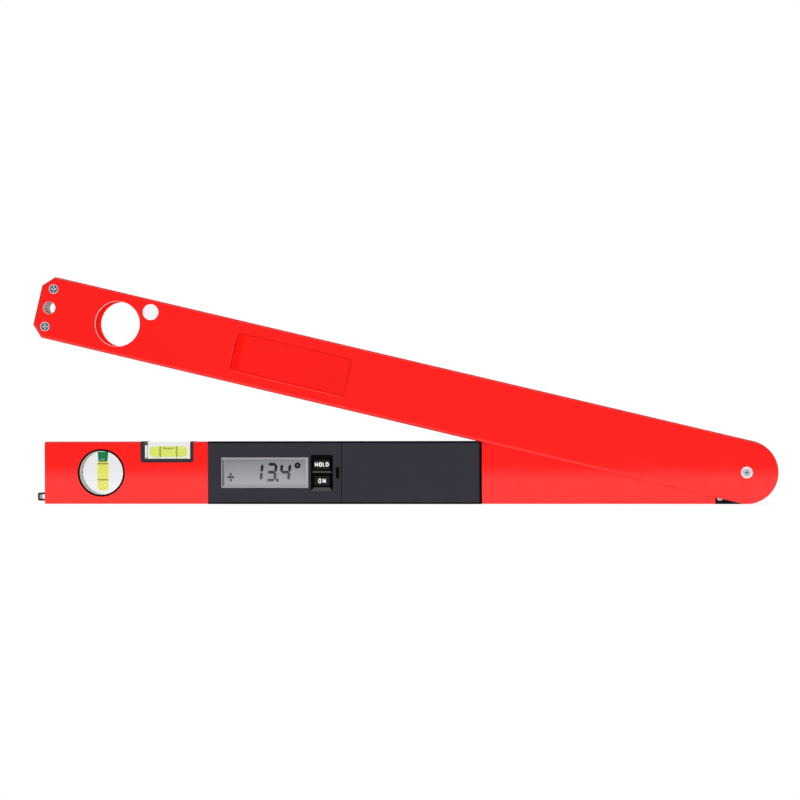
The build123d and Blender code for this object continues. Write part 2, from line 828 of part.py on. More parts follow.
# Battery cover with its latch tongue and hooks
with BuildPart() as battery_cover:
    shell(module_start + seam_gap / 2, cover_length - seam_gap, cover_front)
    with BuildSketch(along(base_front)):
        with Locations((joint_at - seam_gap / 2, 0)):
            Rectangle(
                latch_tongue + seam_gap / 2,
                latch_width - 2 * fit_gap,
                align=(Align.MIN, Align.CENTER),
            )
    extrude(amount=cover_front)
    with BuildSketch(along(base_front + cover_front)):
        with Locations((joint_at - seam_gap / 2, 0)):
            Rectangle(
                latch_tongue + latch_slot - fit_gap + seam_gap / 2,
                latch_width - 2 * fit_gap,
                align=(Align.MIN, Align.CENTER),
            )
    extrude(amount=display_front - cover_front - fit_gap)
    with BuildSketch(along(inner_front + seam_gap)):
        with Locations((module_start + shell_wall, 0)):
            with GridLocations(hook_reach, hook_pitch, 1, 2):
                Rectangle(hook_reach + shell_wall, hook_width, align=(Align.MAX, Align.CENTER))
    extrude(amount=hook_thickness)
    with Locations(facing(cover_mid, 0, base_front)):
        Hole(gate_radius, depth=gate_depth)
    end_edges = battery_cover.faces().sort_by(Axis.Y)[0].edges().group_by(Axis.X)[-1]
    fillet(end_edges, cover_edge)
battery_cover.part.label = "battery_cover"
export_step(battery_cover.part, "parts/battery_cover.step")


def knuckle(depth, length):
    """Outline of the hinge end of the base leg, extruded to the rear."""
    with BuildSketch(along(depth)) as outline:
        Circle(arm_half)
        Rectangle(tube_start, 2 * arm_half, align=(Align.MIN, Align.CENTER))
        with Locations((tube_start - fit_gap, 0)):
            Rectangle(leg_height, leg_height, align=(Align.MAX, Align.CENTER), mode=Mode.INTERSECT)
    extrude(outline.sketch, amount=length)


# Hinge block: knuckle, plug in the tube and pocket for the angle sensor
bush_radius = shaft_radius + bush_wall
plug_end = tube_start + plug_length
sensor_rear = sensor_board_depth + sensor_board_thickness
sensor_posts = [(sensor_post_at, sensor_post_pitch / 2), (sensor_post_at, -sensor_post_pitch / 2)]
with BuildPart() as hinge_block:
    knuckle(hinge_cover_rear, base_rear - hinge_cover_rear)
    with BuildSketch(across(tube_start - fit_gap)):
        Rectangle(base_thickness - 2 * (tube_wall + fit_gap), leg_height - 2 * (tube_wall + fit_gap))
    extrude(amount=plug_length + fit_gap)
    with BuildSketch(along(base_front)):
        Circle(pocket_radius)
        Rectangle(pocket_reach, 2 * pocket_half, align=(Align.MIN, Align.CENTER))
        Rectangle(plug_end, 2 * channel_half, align=(Align.MIN, Align.CENTER))
    extrude(amount=pocket_floor - base_front, mode=Mode.SUBTRACT)
    with BuildSketch(along(sensor_rear)):
        with Locations(*sensor_posts):
            Circle(sensor_post_radius)
    extrude(amount=pocket_floor - sensor_rear)
    with BuildSketch(along(pocket_floor)):
        Circle(bush_radius + fit_gap / 2)
    extrude(amount=hinge_rear_wall, mode=Mode.SUBTRACT)
    with Locations(*[facing(u, v, hinge_cover_rear) for u, v in cover_spots]):
        Hole(cover_shank + thread_gap, depth=cover_screw_length - hinge_cover_thickness + thread_gap)
    with Locations(*[facing(u, v, inner_rear) for u, v in hinge_spots]):
        Hole(hinge_shank + thread_gap, depth=hinge_screw_length)
hinge_block.part.label = "hinge_block"
export_step(hinge_block.part, "parts/hinge_block.step")

with BuildPart() as hinge_cover:
    knuckle(base_front, hinge_cover_thickness)
    fillet(hinge_cover.faces().sort_by(Axis.Y)[0].edges(), hinge_edge)
    with BuildSketch(along(base_front)):
        Circle(bush_radius + fit_gap / 2)
    extrude(amount=hinge_cover_thickness, mode=Mode.SUBTRACT)
    with Locations(*[facing(u, v, base_front) for u, v in cover_spots]):
        sunk_hole(cover_shank, cover_head, 2 * hinge_cover_thickness)
hinge_cover.part.label = "hinge_cover"
export_step(hinge_cover.part, "parts/hinge_cover.step")

with BuildPart() as hinge_cover_screws:
    with Locations(*[facing(u, v, base_front) for u, v in cover_spots]):
        sunk_screw(cover_shank, cover_head, cover_screw_length)
hinge_cover_screws.part.label = "hinge_cover_screws"
export_step(hinge_cover_screws.part, "parts/hinge_cover_screws.step")

with BuildPart() as hinge_block_screws:
    with Locations(*[facing(u, v, base_rear) for u, v in hinge_spots]):
        sunk_screw(hinge_shank, hinge_head, hinge_screw_length)
hinge_block_screws.part.label = "hinge_block_screws"
export_step(hinge_block_screws.part, "parts/hinge_block_screws.step")

# Bushes that the shaft turns in, and the friction washers beside the plates
with BuildPart() as pivot_bushes:
    for depth, length in ((base_front, hinge_cover_thickness), (pocket_floor, hinge_rear_wall)):
        with BuildSketch(along(depth)):
            Circle(bush_radius)
            Circle(shaft_radius + running_gap, mode=Mode.SUBTRACT)
        extrude(amount=length)
pivot_bushes.part.label = "pivot_bushes"
export_step(pivot_bushes.part, "parts/pivot_bushes.step")

washer_slack = (side_gap - washer_thickness) / 2
with BuildPart() as friction_washers:
    for depth in (base_rear + washer_slack, base_front - washer_slack - washer_thickness):
        with BuildSketch(along(depth)):
            Circle(disc_radius)
            Circle(shaft_radius + running_gap, mode=Mode.SUBTRACT)
        extrude(amount=washer_thickness)
friction_washers.part.label = "friction_washers"
export_step(friction_washers.part, "parts/friction_washers.step")

# Angle sensor: board, chip and cable to the main board
with BuildPart() as sensor_board:
    with BuildSketch(along(sensor_board_depth)):
        with Locations((sensor_start, 0)):
            Rectangle(
                sensor_board_reach - sensor_start,
                2 * sensor_board_half,
                align=(Align.MIN, Align.CENTER),
            )
    extrude(amount=sensor_board_thickness)
sensor_board.part.label = "sensor_board"
export_step(sensor_board.part, "parts/sensor_board.step")

sensor_front = disc_depth + disc_thickness + sensor_gap
with BuildPart() as sensor_chip:
    with BuildSketch(along(sensor_front)):
        with Locations((sensor_start, 0)):
            Rectangle(sensor_length, 2 * sensor_half, align=(Align.MIN, Align.CENTER))
    extrude(amount=sensor_board_depth - sensor_front)
sensor_chip.part.label = "sensor_chip"
export_step(sensor_chip.part, "parts/sensor_chip.step")

cable_start = sensor_post_at - sensor_post_radius
cable_drop = (tray_half + bore_half) / 2
cable_end = board_low + cable_landing
with BuildPart() as sensor_cable:
    with BuildLine(along(cable_depth)) as cable:
        FilletPolyline(
            (cable_start - cable_plug_length / 2, 0),
            (plug_end + cable_bend, 0),
            (plug_end + 4 * cable_bend, -cable_drop),
            (tray_end + cable_bend, -cable_drop),
            (tray_end + 3 * cable_bend, -cable_landing_drop),
            (cable_end + cable_plug_length / 2, -cable_landing_drop),
            radius=cable_bend,
        )
    with BuildSketch(Plane(origin=cable.line @ 0, z_dir=cable.line % 0)):
        Circle(cable_radius)
    sweep(path=cable.line)
    with BuildSketch(along(sensor_rear)):
        with Locations((cable_start - cable_plug_length / 2, 0)):
            Rectangle(cable_plug_length, 2 * cable_plug_half)
    extrude(amount=pocket_floor - fit_gap - sensor_rear)
    with BuildSketch(along(board_rear)):
        with Locations((cable_end + cable_plug_length / 2, -cable_landing_drop)):
            Rectangle(cable_plug_length, 2 * cable_plug_half)
    extrude(amount=pocket_floor - board_rear)
sensor_cable.part.label = "sensor_cable"
export_step(sensor_cable.part, "parts/sensor_cable.step")


def arm_plate(depth, outer):
    """One plate of the arm with its port and hanging hole; outer is 0 at the front and -1 at the rear."""
    with BuildSketch(along(depth, open_angle)) as outline:
        Rectangle(arm_reach, 2 * arm_half, align=(Align.MIN, Align.CENTER))
        chamfer(outline.vertices().group_by(Axis.X)[-1], end_chamfer)
        Circle(arm_half)
    extrude(outline.sketch, amount=plate_thickness)
    fillet(faces().sort_by(Axis.Y)[outer].edges(), plate_edge)
    with BuildSketch(along(depth, open_angle)) as holes:
        with Locations((plumb_at, 0)):
            Circle(port_radius - arm_port_lip)
        with Locations((hang_at, 0)):
            Circle(hang_radius)
    extrude(holes.sketch, amount=plate_thickness, mode=Mode.SUBTRACT)


def plate_screw_holes(outer):
    """Pivot hole and countersunk end holes, drilled from the outer face."""
    with Locations(facing(0, 0, outer, open_angle)):
        Hole(pivot_shank + fit_gap, depth=plate_thickness)
    with Locations(*[facing(u, v, outer, open_angle) for u, v in end_spots]):
        sunk_hole(end_shank, end_head + end_sink_margin, 2 * plate_thickness)


# Arm plates, the front one with the display window
with BuildPart() as front_plate:
    arm_plate(-plate_outer, 0)
    with BuildSketch(along(-plate_outer, open_angle)):
        with Locations(((window_start + window_end) / 2, 0)):
            RectangleRounded(window_end - window_start, window_height, window_corner)
    extrude(amount=plate_thickness, mode=Mode.SUBTRACT)
    for opening in front_plate.faces().sort_by(Axis.Y)[0].inner_wires():
        chamfer(opening.edges(), hole_edge)
    plate_screw_holes(-plate_outer)
front_plate.part.label = "front_plate"
export_step(front_plate.part, "parts/front_plate.step")

with BuildPart() as rear_plate:
    arm_plate(plate_inner, -1)
    for opening in rear_plate.faces().sort_by(Axis.Y)[-1].inner_wires():
        chamfer(opening.edges(), hole_edge)
    plate_screw_holes(plate_outer)
rear_plate.part.label = "rear_plate"
export_step(rear_plate.part, "parts/rear_plate.step")

# End block between the plates, notched for the catch loop
block_start = arm_reach - end_block_length
notch_end = base_reach + loop_reach + catch_gap
notch_top = loop_height / 2 + catch_gap - loop_drop
with BuildPart() as end_block:
    with BuildSketch(along(-plate_inner, open_angle)) as block_side:
        with Locations((block_start, 0)):
            Rectangle(end_block_length, 2 * arm_half, align=(Align.MIN, Align.CENTER))
        chamfer(block_side.vertices().group_by(Axis.X)[-1], end_chamfer)
        with Locations((notch_end, notch_top)):
            Rectangle(end_block_length, leg_height, align=(Align.MAX, Align.MAX), mode=Mode.SUBTRACT)
        with Locations((hang_at, 0)):
            Circle(hang_radius, mode=Mode.SUBTRACT)
    extrude(amount=2 * plate_inner)
    with Locations(*[facing(u, v, side, open_angle) for u, v in end_spots for side in inner_sides]):
        Hole(end_shank + thread_gap, depth=end_screw_length - plate_thickness + thread_gap)
end_block.part.label = "end_block"
export_step(end_block.part, "parts/end_block.step")

with BuildPart() as end_block_screws:
    with Locations(*[facing(u, v, side, open_angle) for u, v in end_spots for side in outer_sides]):
        sunk_screw(end_shank, end_head, end_screw_length)
end_block_screws.part.label = "end_block_screws"
export_step(end_block_screws.part, "parts/end_block_screws.step")

# Pivot shaft clamped between the plates by two screws
with BuildPart() as pivot_shaft:
    with BuildSketch(along(-plate_inner)):
        Circle(shaft_radius)
    extrude(amount=2 * plate_inner)
    with Locations(*[facing(0, 0, side) for side in inner_sides]):
        Hole(pivot_shank + thread_gap, depth=pivot_screw_length - plate_thickness + thread_gap)
pivot_shaft.part.label = "pivot_shaft"
export_step(pivot_shaft.part, "parts/pivot_shaft.step")

with BuildPart() as pivot_screws:
    with Locations(*[facing(0, 0, side) for side in outer_sides]):
        pan_screw(pivot_shank, pivot_head, pivot_head_height, pivot_screw_length)
pivot_screws.part.label = "pivot_screws"
export_step(pivot_screws.part, "parts/pivot_screws.step")

# Code disc on the shaft
with BuildPart() as code_disc:
    disc_middle = disc_depth + disc_thickness / 2
    for radius, length in ((hub_radius, hub_length), (disc_radius, disc_thickness)):
        with BuildSketch(along(disc_middle - length / 2)):
            Circle(radius)
        extrude(amount=length)
    with BuildSketch(along(disc_middle - hub_length)):
        Circle(shaft_radius + running_gap)
    extrude(amount=2 * hub_length, mode=Mode.SUBTRACT)
code_disc.part.label = "code_disc"
export_step(code_disc.part, "parts/code_disc.step")

# Blank round label on the front plate
with BuildPart() as round_label:
    with BuildSketch(along(-plate_outer - label_thickness, open_angle)):
        with Locations((plumb_at - label_from_port, arm_half - label_edge)):
            Circle(label_radius)
    extrude(amount=label_thickness)
round_label.part.label = "round_label"
export_step(round_label.part, "parts/round_label.step")
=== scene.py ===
"""Dresses a packed digital protractor: finishes, printed marks, vials, studio and camera.

Lengths are metres in the part's own frame. +X runs along the base leg to the pivot, +Z is up from the
measuring face, and -Y is the side with the display.
"""

import json
import logging
from dataclasses import dataclass, replace
from enum import Enum, IntEnum
from functools import cache
from typing import ClassVar

import bmesh
import bpy
import numpy as np
from mathutils import Matrix, Vector


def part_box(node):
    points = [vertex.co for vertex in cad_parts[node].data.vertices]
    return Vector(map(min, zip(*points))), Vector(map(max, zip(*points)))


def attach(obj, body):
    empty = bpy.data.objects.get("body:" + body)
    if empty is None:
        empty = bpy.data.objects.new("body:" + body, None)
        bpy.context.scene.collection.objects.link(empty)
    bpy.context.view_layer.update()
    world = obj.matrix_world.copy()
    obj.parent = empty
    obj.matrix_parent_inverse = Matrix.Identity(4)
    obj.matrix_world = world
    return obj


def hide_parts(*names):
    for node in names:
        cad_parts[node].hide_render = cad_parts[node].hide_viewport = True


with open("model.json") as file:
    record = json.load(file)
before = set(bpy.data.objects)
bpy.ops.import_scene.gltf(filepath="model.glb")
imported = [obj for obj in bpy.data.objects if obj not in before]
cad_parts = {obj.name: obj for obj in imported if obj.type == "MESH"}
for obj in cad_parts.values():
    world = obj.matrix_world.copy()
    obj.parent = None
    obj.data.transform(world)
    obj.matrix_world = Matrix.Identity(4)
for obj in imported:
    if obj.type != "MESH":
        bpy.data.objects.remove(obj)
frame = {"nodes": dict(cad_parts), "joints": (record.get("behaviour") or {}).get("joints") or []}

MM = 0.001
ALONG, REARWARD, UP = np.eye(3)
TURN = 2 * np.pi
QUARTER = TURN / 4
TURNED_STEPS = 48
LOOP_STEPS = 40
ELLIPSOID_STEPS = (17, 32)
CORNER_STEPS = 6
STROKE_STEPS = 7
BOW_STEPS = 16
BOWL_STEPS = 9
RIM_STEPS = 5
WELD = 1e-7
SHARP = np.radians(35)

log = logging.getLogger("protractor")
Socket = bpy.types.NodeSocket
Pair = tuple[float, float]
Pairs = tuple[Pair, ...]
Triple = tuple[float, float, float]


class Body(Enum):
    """The bodies that pieces ride on."""

    BASE = "base"
    ARM = "arm"
    HOLD_KEY = "hold_key"
    ON_KEY = "on_key"


class Slot(Enum):
    """The record's material slots that pieces belong to."""

    BLACK_PLASTIC = "black_plastic"
    CLEAR_ACRYLIC = "clear_acrylic"
    DARK_PLASTIC = "dark_plastic"
    PALE_PLASTIC = "pale_plastic"
    RUBBER = "rubber"
    VIAL_LIQUID = "vial_liquid"
    WHITE_LABEL = "white_label"
    ZINC = "zinc"


class StrokeEnd(Enum):
    """How a stroke of a printed mark ends."""

    ROUND = "round"
    POINTED = "pointed"
    SQUARE = "square"


class Side(IntEnum):
    """The two sides of the part, as the sign of y."""

    FRONT = -1
    REAR = 1


class Graph:
    """Short way to add and link the nodes of a material or of the world."""

    def __init__(self, owner: bpy.types.Material | bpy.types.World) -> None:
        """Starts the owner's nodes afresh.

        Args:
            owner: the material or world that the nodes belong to.
        """
        owner.use_nodes = True
        self.owner = owner
        self.tree = owner.node_tree
        self.tree.nodes.clear()

    def add(self, kind: str, settings: dict | None = None, inputs: dict | None = None) -> bpy.types.Node:
        """Adds a node.

        Args:
            kind: Blender's name of the node.
            settings: attributes of the node.
            inputs: values of its inputs, where a socket is linked and anything else is set.

        Returns:
            The new node.
        """
        node = self.tree.nodes.new(kind)
        for key, value in (settings or {}).items():
            setattr(node, key, value)
        for key, value in (inputs or {}).items():
            if isinstance(value, Socket):
                self.tree.links.new(value, node.inputs[key])
            else:
                node.inputs[key].default_value = value
        return node

    def math(self, kind: str, *values: Socket | float) -> Socket:
        """Adds a math node of that kind, whose result is kept from 0 to 1."""
        settings = {"operation": kind, "use_clamp": True}
        return self.add("ShaderNodeMath", settings, dict(enumerate(values))).outputs[0]

    def rays(self, *kinds: str) -> Socket:
        """Gives 1 where the ray is of one of those kinds, and 0 elsewhere.

        Args:
            kinds: Blender's words for the kinds of rays.

        Returns:
            The value, 0 or 1.
        """
        path = self.add("ShaderNodeLightPath").outputs
        total = path[f"Is {kinds[0]} Ray"]
        for kind in kinds[1:]:
            total = self.math("ADD", total, path[f"Is {kind} Ray"])
        return total

    def place(self) -> Socket:
        """Gives the point on the piece, in metres."""
        return self.add("ShaderNodeTexCoord").outputs["Object"]

    def height(self) -> Socket:
        """Gives the point's height above the measuring face, in metres."""
        return self.add("ShaderNodeSeparateXYZ", inputs={"Vector": self.place()}).outputs["Z"]

    def distance(self, centres: Pairs) -> Socket:
        """Gives the distance to the nearest of some lines across the legs.

        Args:
            centres: x and z of each line, in metres.

        Returns:
            The distance, in metres.
        """
        flat = self.add("ShaderNodeVectorMath", {"operation": "MULTIPLY"}, {0: self.place(), 1: (1, 0, 1)}).outputs[0]
        gaps = [
            self.add("ShaderNodeVectorMath", {"operation": "DISTANCE"}, {0: flat, 1: (x, 0, z)}).outputs["Value"]
            for x, z in centres
        ]
        nearest = gaps[0]
        for gap in gaps[1:]:
            nearest = self.math("MINIMUM", nearest, gap)
        return nearest

    def noise(self, size: float, detail: float = 2.0, stretch: Triple = (1, 1, 1)) -> Socket:
        """Gives cloudy noise from 0 to 1.

        Args:
            size: width of one cloud, in metres.
            detail: number of finer layers.
            stretch: how much longer the clouds are along each axis.

        Returns:
            The noise's value.
        """
        scale = tuple(1 / (size * s) for s in stretch)
        spot = self.add("ShaderNodeMapping", inputs={"Vector": self.place(), "Scale": scale})
        inputs = {"Vector": spot.outputs["Vector"], "Scale": 1.0, "Detail": detail}
        return self.add("ShaderNodeTexNoise", inputs=inputs).outputs["Fac"]

    def remap(self, value: Socket, low: float, high: float, start: float = 0.3, end: float = 0.7) -> Socket:
        """Stretches a value from start..end to low..high, and keeps it inside them."""
        inputs = {"Value": value, "From Min": start, "From Max": end, "To Min": low, "To Max": high}
        return self.add("ShaderNodeMapRange", inputs=inputs).outputs["Result"]

    def blend(self, share: Socket, first: Triple, second: Triple) -> Socket:
        """Mixes two colours by a share from 0 to 1."""
        inputs = {"Factor": share, 6: (*first, 1), 7: (*second, 1)}
        return self.add("ShaderNodeMix", {"data_type": "RGBA"}, inputs).outputs[2]

    def bump(self, height: Socket, depth: float, under: Socket | None = None) -> Socket:
        """Turns a height from 0 to 1 into a normal.

        Args:
            height: the height's value.
            depth: how deep a height of 1 is, in metres.
            under: a normal that this one is laid over.

        Returns:
            The normal.
        """
        inputs = {"Height": height, "Distance": depth, "Strength": 1.0}
        if under is not None:
            inputs["Normal"] = under
        return self.add("ShaderNodeBump", inputs=inputs).outputs["Normal"]


def shade(colour: Triple, factor: float) -> Triple:
    """Makes a colour lighter or darker by a factor."""
    return tuple(min(1.0, channel * factor) for channel in colour)


@dataclass(frozen=True)
class Finish:
    """What the surface of a piece looks like."""

    name: str
    colour: Triple  # its main colour, linear
    roughness: float = 0.5  # the middle of its roughness
    spread: float = 0.06  # how far the roughness strays either way
    tone: float = 0.05  # how far the colour strays either way, as a share
    shine: float = 0.5  # level of its mirror reflection, where 0.5 is plain plastic
    grain: float = 0.35 * MM  # width of the bumps of its fine relief
    depth: float = 0.012 * MM  # depth of that relief, where 0 leaves it out
    detail: ClassVar[float] = 1  # number of finer layers in the relief
    stretch: ClassVar[Triple] = (1, 1, 1)  # how much longer the bumps are along each axis
    tone_cloud: ClassVar[float] = 12 * MM  # width of the clouds in its colour
    gloss_cloud: ClassVar[float] = 4 * MM  # width of the clouds in its roughness
    gloss_detail: ClassVar[float] = 3  # number of finer layers in its roughness

    def paint(self, graph: Graph) -> Socket:
        """Gives the colour, a little uneven in clouds."""
        dark, pale = shade(self.colour, 1 - self.tone), shade(self.colour, 1 + self.tone)
        return graph.blend(graph.noise(self.tone_cloud), dark, pale)

    def gloss(self, graph: Graph) -> Socket:
        """Gives the roughness, a little uneven in clouds."""
        clouds = graph.noise(self.gloss_cloud, self.gloss_detail)
        return graph.remap(clouds, self.roughness - self.spread, self.roughness + self.spread)

    def relief(self, graph: Graph) -> Socket:
        """Gives the normal of the fine relief."""
        return graph.bump(graph.noise(self.grain, self.detail, self.stretch), self.depth)

    def extras(self) -> dict[str, object]:
        """Gives further inputs of the surface."""
        return {}

    def material(self) -> bpy.types.Material:
        """Builds the material from colour, gloss and relief.

        Returns:
            The new material.
        """
        graph = Graph(bpy.data.materials.new(self.name))
        inputs = {"Base Color": self.paint(graph), "Roughness": self.gloss(graph), "Specular IOR Level": self.shine}
        if self.depth:
            inputs["Normal"] = self.relief(graph)
        surface = graph.add("ShaderNodeBsdfPrincipled", inputs=inputs | self.extras())
        graph.add("ShaderNodeOutputMaterial", inputs={"Surface": surface.outputs["BSDF"]})
        return graph.owner


@dataclass(frozen=True)
class Coating(Finish):
    """Glossy sprayed coat with orange peel."""

    grain: float = 1.8 * MM
    depth: float = 0.003 * MM
    broad_size: ClassVar[float] = 8  # width of its broad ripples, as a multiple of the fine ones
    broad_depth: ClassVar[float] = 2  # their depth, as a multiple of the fine ones
    tone_cloud: ClassVar[float] = 60 * MM
    gloss_cloud: ClassVar[float] = 9 * MM

    def relief(self, graph: Graph) -> Socket:
        """Gives the normal of the orange peel: fine ripples over broad ones."""
        broad = graph.bump(graph.noise(self.broad_size * self.grain, self.detail), self.broad_depth * self.depth)
        return graph.bump(graph.noise(self.grain, self.detail), self.depth, broad)


@dataclass(frozen=True)
class Moulding(Finish):
    """Moulded plastic with an eroded grain."""

    detail: ClassVar[float] = 3


@dataclass(frozen=True)
class ClearPlastic(Finish):
    """Clear plastic or liquid that light passes through, with a faint waviness."""

    grain: float = 6 * MM
    depth: float = 0.001 * MM
    bend: float = 1.49  # its index of refraction
    clear: float = 1.0  # share of the light that passes through
    glow: float = 0.0  # strength of a faint painted glow of its own, light that no lamp gives
    tone_cloud: ClassVar[float] = 5 * MM
    gloss_cloud: ClassVar[float] = 3 * MM

    def extras(self) -> dict[str, object]:
        """Gives clearness, refraction and a painted glow."""
        glow = {"Emission Color": (*self.colour, 1), "Emission Strength": self.glow}
        return glow | {"Transmission Weight": self.clear, "IOR": self.bend}


@dataclass(frozen=True)
class Metal(Finish):
    """Turned or plated metal with fine tool marks."""

    grain: float = 0.25 * MM
    depth: float = 0.002 * MM
    metal: float = 1.0  # how much of it is bare metal, where 0 is a dull coat
    detail: ClassVar[float] = 2
    stretch: ClassVar[Triple] = (4, 1, 1)
    tone_cloud: ClassVar[float] = 1.5 * MM
    gloss_cloud: ClassVar[float] = 0.8 * MM

    def extras(self) -> dict[str, object]:
        """Gives the share of bare metal."""
        return {"Metallic": self.metal}


@dataclass(frozen=True)
class Heads(Metal):
    """Plated screw heads, with a paler rim round each: a painted reflection."""

    reflection_rim_colour: Triple = (0.8, 0.8, 0.8)
    centres: Pairs = ()  # x and z of the heads' middles
    radius: float = 1.0 * MM  # the rim's inner radius
    blur: ClassVar[float] = 0.04  # half width of the change to the rim's colour, as a share of the radius

    def paint(self, graph: Graph) -> Socket:
        """Gives the colour by the distance from the nearest head's middle, turning to the painted reflection's at the
        radius.
        """
        edges = (1 - self.blur) * self.radius, (1 + self.blur) * self.radius
        return graph.blend(graph.remap(graph.distance(self.centres), 0.0, 1.0, *edges), self.colour, self.reflection_rim_colour)


@dataclass(frozen=True)
class Sheet(Finish):
    """Smooth board or foil with a faint grain."""

    grain: float = 0.12 * MM
    depth: float = 0.001 * MM
    tone_cloud: ClassVar[float] = 2 * MM
    gloss_cloud: ClassVar[float] = 0.5 * MM


@dataclass(frozen=True)
class PaintedShadeByHeight(Finish):
    """Film or ink of the display, whose colour changes with height: light and shade painted into it."""

    depth: float = 0.0
    low_colour: Triple = (0.2, 0.2, 0.2)  # colour at the lower end, where the main colour is the upper end's
    low: float = 0.0  # height of the lower end
    high: float = 1.0  # height of the upper end
    gloss_cloud: ClassVar[float] = 0.5 * MM

    def paint(self, graph: Graph) -> Socket:
        """Gives the colour by height, which carries the painted light and shade."""
        return graph.blend(graph.remap(graph.height(), 0.0, 1.0, self.low, self.high), self.low_colour, self.colour)


@dataclass(frozen=True)
class Print(Finish):
    """Ink or paper with small specks of lighter and darker tone."""

    grain: float = 0.1 * MM
    depth: float = 0.002 * MM
    detail: ClassVar[float] = 2
    tone_cloud: ClassVar[float] = 0.3 * MM
    gloss_cloud: ClassVar[float] = 0.6 * MM


@cache
def made(finish: Finish) -> bpy.types.Material:
    """Gives the material of a finish, built once."""
    return finish.material()


# Name, colour, roughness, spread, tone, shine, grain and depth, as far as they are given.
RED_COAT = Coating("red_coat", (0.95, 0.0100, 0.0072), 0.06, 0.02, 0.03)
DARK_PLASTIC = Moulding("dark_plastic", (0.0315, 0.031, 0.040), 0.60, 0.06, 0.06, 0.12)
BLACK_PLASTIC = Moulding("black_plastic", (0.004, 0.004, 0.0045), 0.50, 0.06, 0.10, 0.12)
BLACK_GLOSS = Moulding("black_gloss", (0.004, 0.004, 0.0045), 0.14, 0.04, 0.10, 0.5, 0.8 * MM, 0.002 * MM)
KEY_BLACK = Moulding("key_black", (0.0010, 0.0010, 0.0013), 0.40, 0.05, 0.10, 0.06, 0.6 * MM, 0.004 * MM)
# Grey of the painted highlight on the key bezel's lower slopes.
KEY_SLOPE_HIGHLIGHT = Moulding("key_sill", (0.060, 0.060, 0.066), 0.45, 0.05, 0.10, 0.2, 0.6 * MM, 0.004 * MM)
KEY_PAD = Moulding("key_pad", (0.008, 0.008, 0.010), 0.50, 0.05, 0.10, 0.2, 0.4 * MM, 0.006 * MM)
GREY_PLASTIC = Moulding("grey_plastic", (0.58, 0.58, 0.57), 0.45)
PALE_PLASTIC = Moulding("pale_plastic", (0.75, 0.75, 0.75), 0.40)
SLEEVE_GREY = Moulding("sleeve_grey", (0.94, 0.94, 0.94), 0.40)
STOPPER_GREEN = Moulding("stopper_green", (0.0005, 0.60, 0.21), 0.30, 0.05, 0.10, 0.1, 0.5 * MM, 0.003 * MM)
# Pale mint of the painted highlights on the plumb stopper's foot.
STOPPER_HIGHLIGHT = Moulding("stopper_mint", (0.62, 0.82, 0.72), 0.35, 0.05, 0.10, 0.3, 0.5 * MM, 0.003 * MM)
SIGHT_GREY = Moulding("sight_grey", (0.64, 0.64, 0.67), 0.40)
# Grey of the painted shadow on the display funnel's left wall.
SIGHT_PAINTED_SHADOW = Moulding("sight_dark", (0.28, 0.275, 0.30), 0.40)
# Pale rim painted on the lens as the highlight on its bevel.
LENS_HIGHLIGHT_RIM = Moulding("lens_rim", (0.50, 0.50, 0.53), 0.30)
RUBBER = Moulding("rubber", (0.02, 0.02, 0.02), 0.75)
ACRYLIC = ClearPlastic("clear_acrylic", (0.84, 0.845, 0.85), 0.02, 0.015, 0.01)
LENS = replace(ACRYLIC, name="display_lens", colour=(0.96, 0.97, 0.97), bend=1.15)
BUBBLE = replace(ACRYLIC, name="vial_bubble", colour=(0.97, 0.99, 0.93), bend=0.78)
# The vial liquids glow faintly: painted light.
LIQUID = replace(ACRYLIC, tone=0.02, bend=1.03, clear=0.9, glow=0.05)
PLUMB_LIQUID = replace(LIQUID, name="plumb_liquid", colour=(0.94, 0.95, 0.17))
LEVEL_LIQUID = replace(LIQUID, name="level_liquid", colour=(0.89, 0.97, 0.20))
ZINC = Metal("zinc_plate", (0.80, 0.82, 0.86), 0.46, 0.06, 0.06)
# Tones of the screw recess floors: pale for painted light, dark for painted shade.
RECESS_PAINTED_LIGHT = Metal("pale_zinc", (0.78, 0.79, 0.82), 0.40, 0.06, 0.06, metal=0.3)
RECESS_PAINTED_SHADE = Metal("dark_zinc", (0.20, 0.26, 0.34), 0.40, 0.08, 0.10, metal=0.3)
BARE_EDGE = Metal("bare_edge", (0.92, 0.72, 0.66), 0.30, 0.05, 0.04, metal=0.25)
# The pale rims on the screw heads are painted reflections.
END_HEADS = Heads("end_heads", (0.045, 0.10, 0.19), 0.34, metal=0.3, reflection_rim_colour=(0.72, 0.71, 0.73))
PIVOT_HEADS = Heads("pivot_heads", (0.52, 0.60, 0.70), 0.34, metal=0.3, reflection_rim_colour=(0.94, 0.94, 0.95))
STEEL = Metal("turned_steel", (0.56, 0.56, 0.58), 0.28, 0.06, 0.06)
BRONZE = Metal("sintered_bronze", (0.55, 0.36, 0.18), 0.45, 0.08, 0.12)
SPRING_STRIP = Metal("spring_strip", (0.72, 0.66, 0.50), 0.30, 0.06, 0.08)
CELL_SLEEVE = Metal("cell_sleeve", (0.10, 0.12, 0.30), 0.35, 0.06, 0.10)
BOARD = Sheet("solder_mask", (0.02, 0.16, 0.05), 0.35, 0.05, 0.25)
CODE_FILM = Sheet("code_film", (0.50, 0.50, 0.52), 0.20, 0.05, 0.20)
# The segments grow lighter downwards: the lens's reflection, painted into the ink.
LCD_INK_REFLECTION = PaintedShadeByHeight("lcd_segments", (0.002, 0.002, 0.003), 0.4, 0.05, shine=0.2, low_colour=(0.150, 0.153, 0.160))
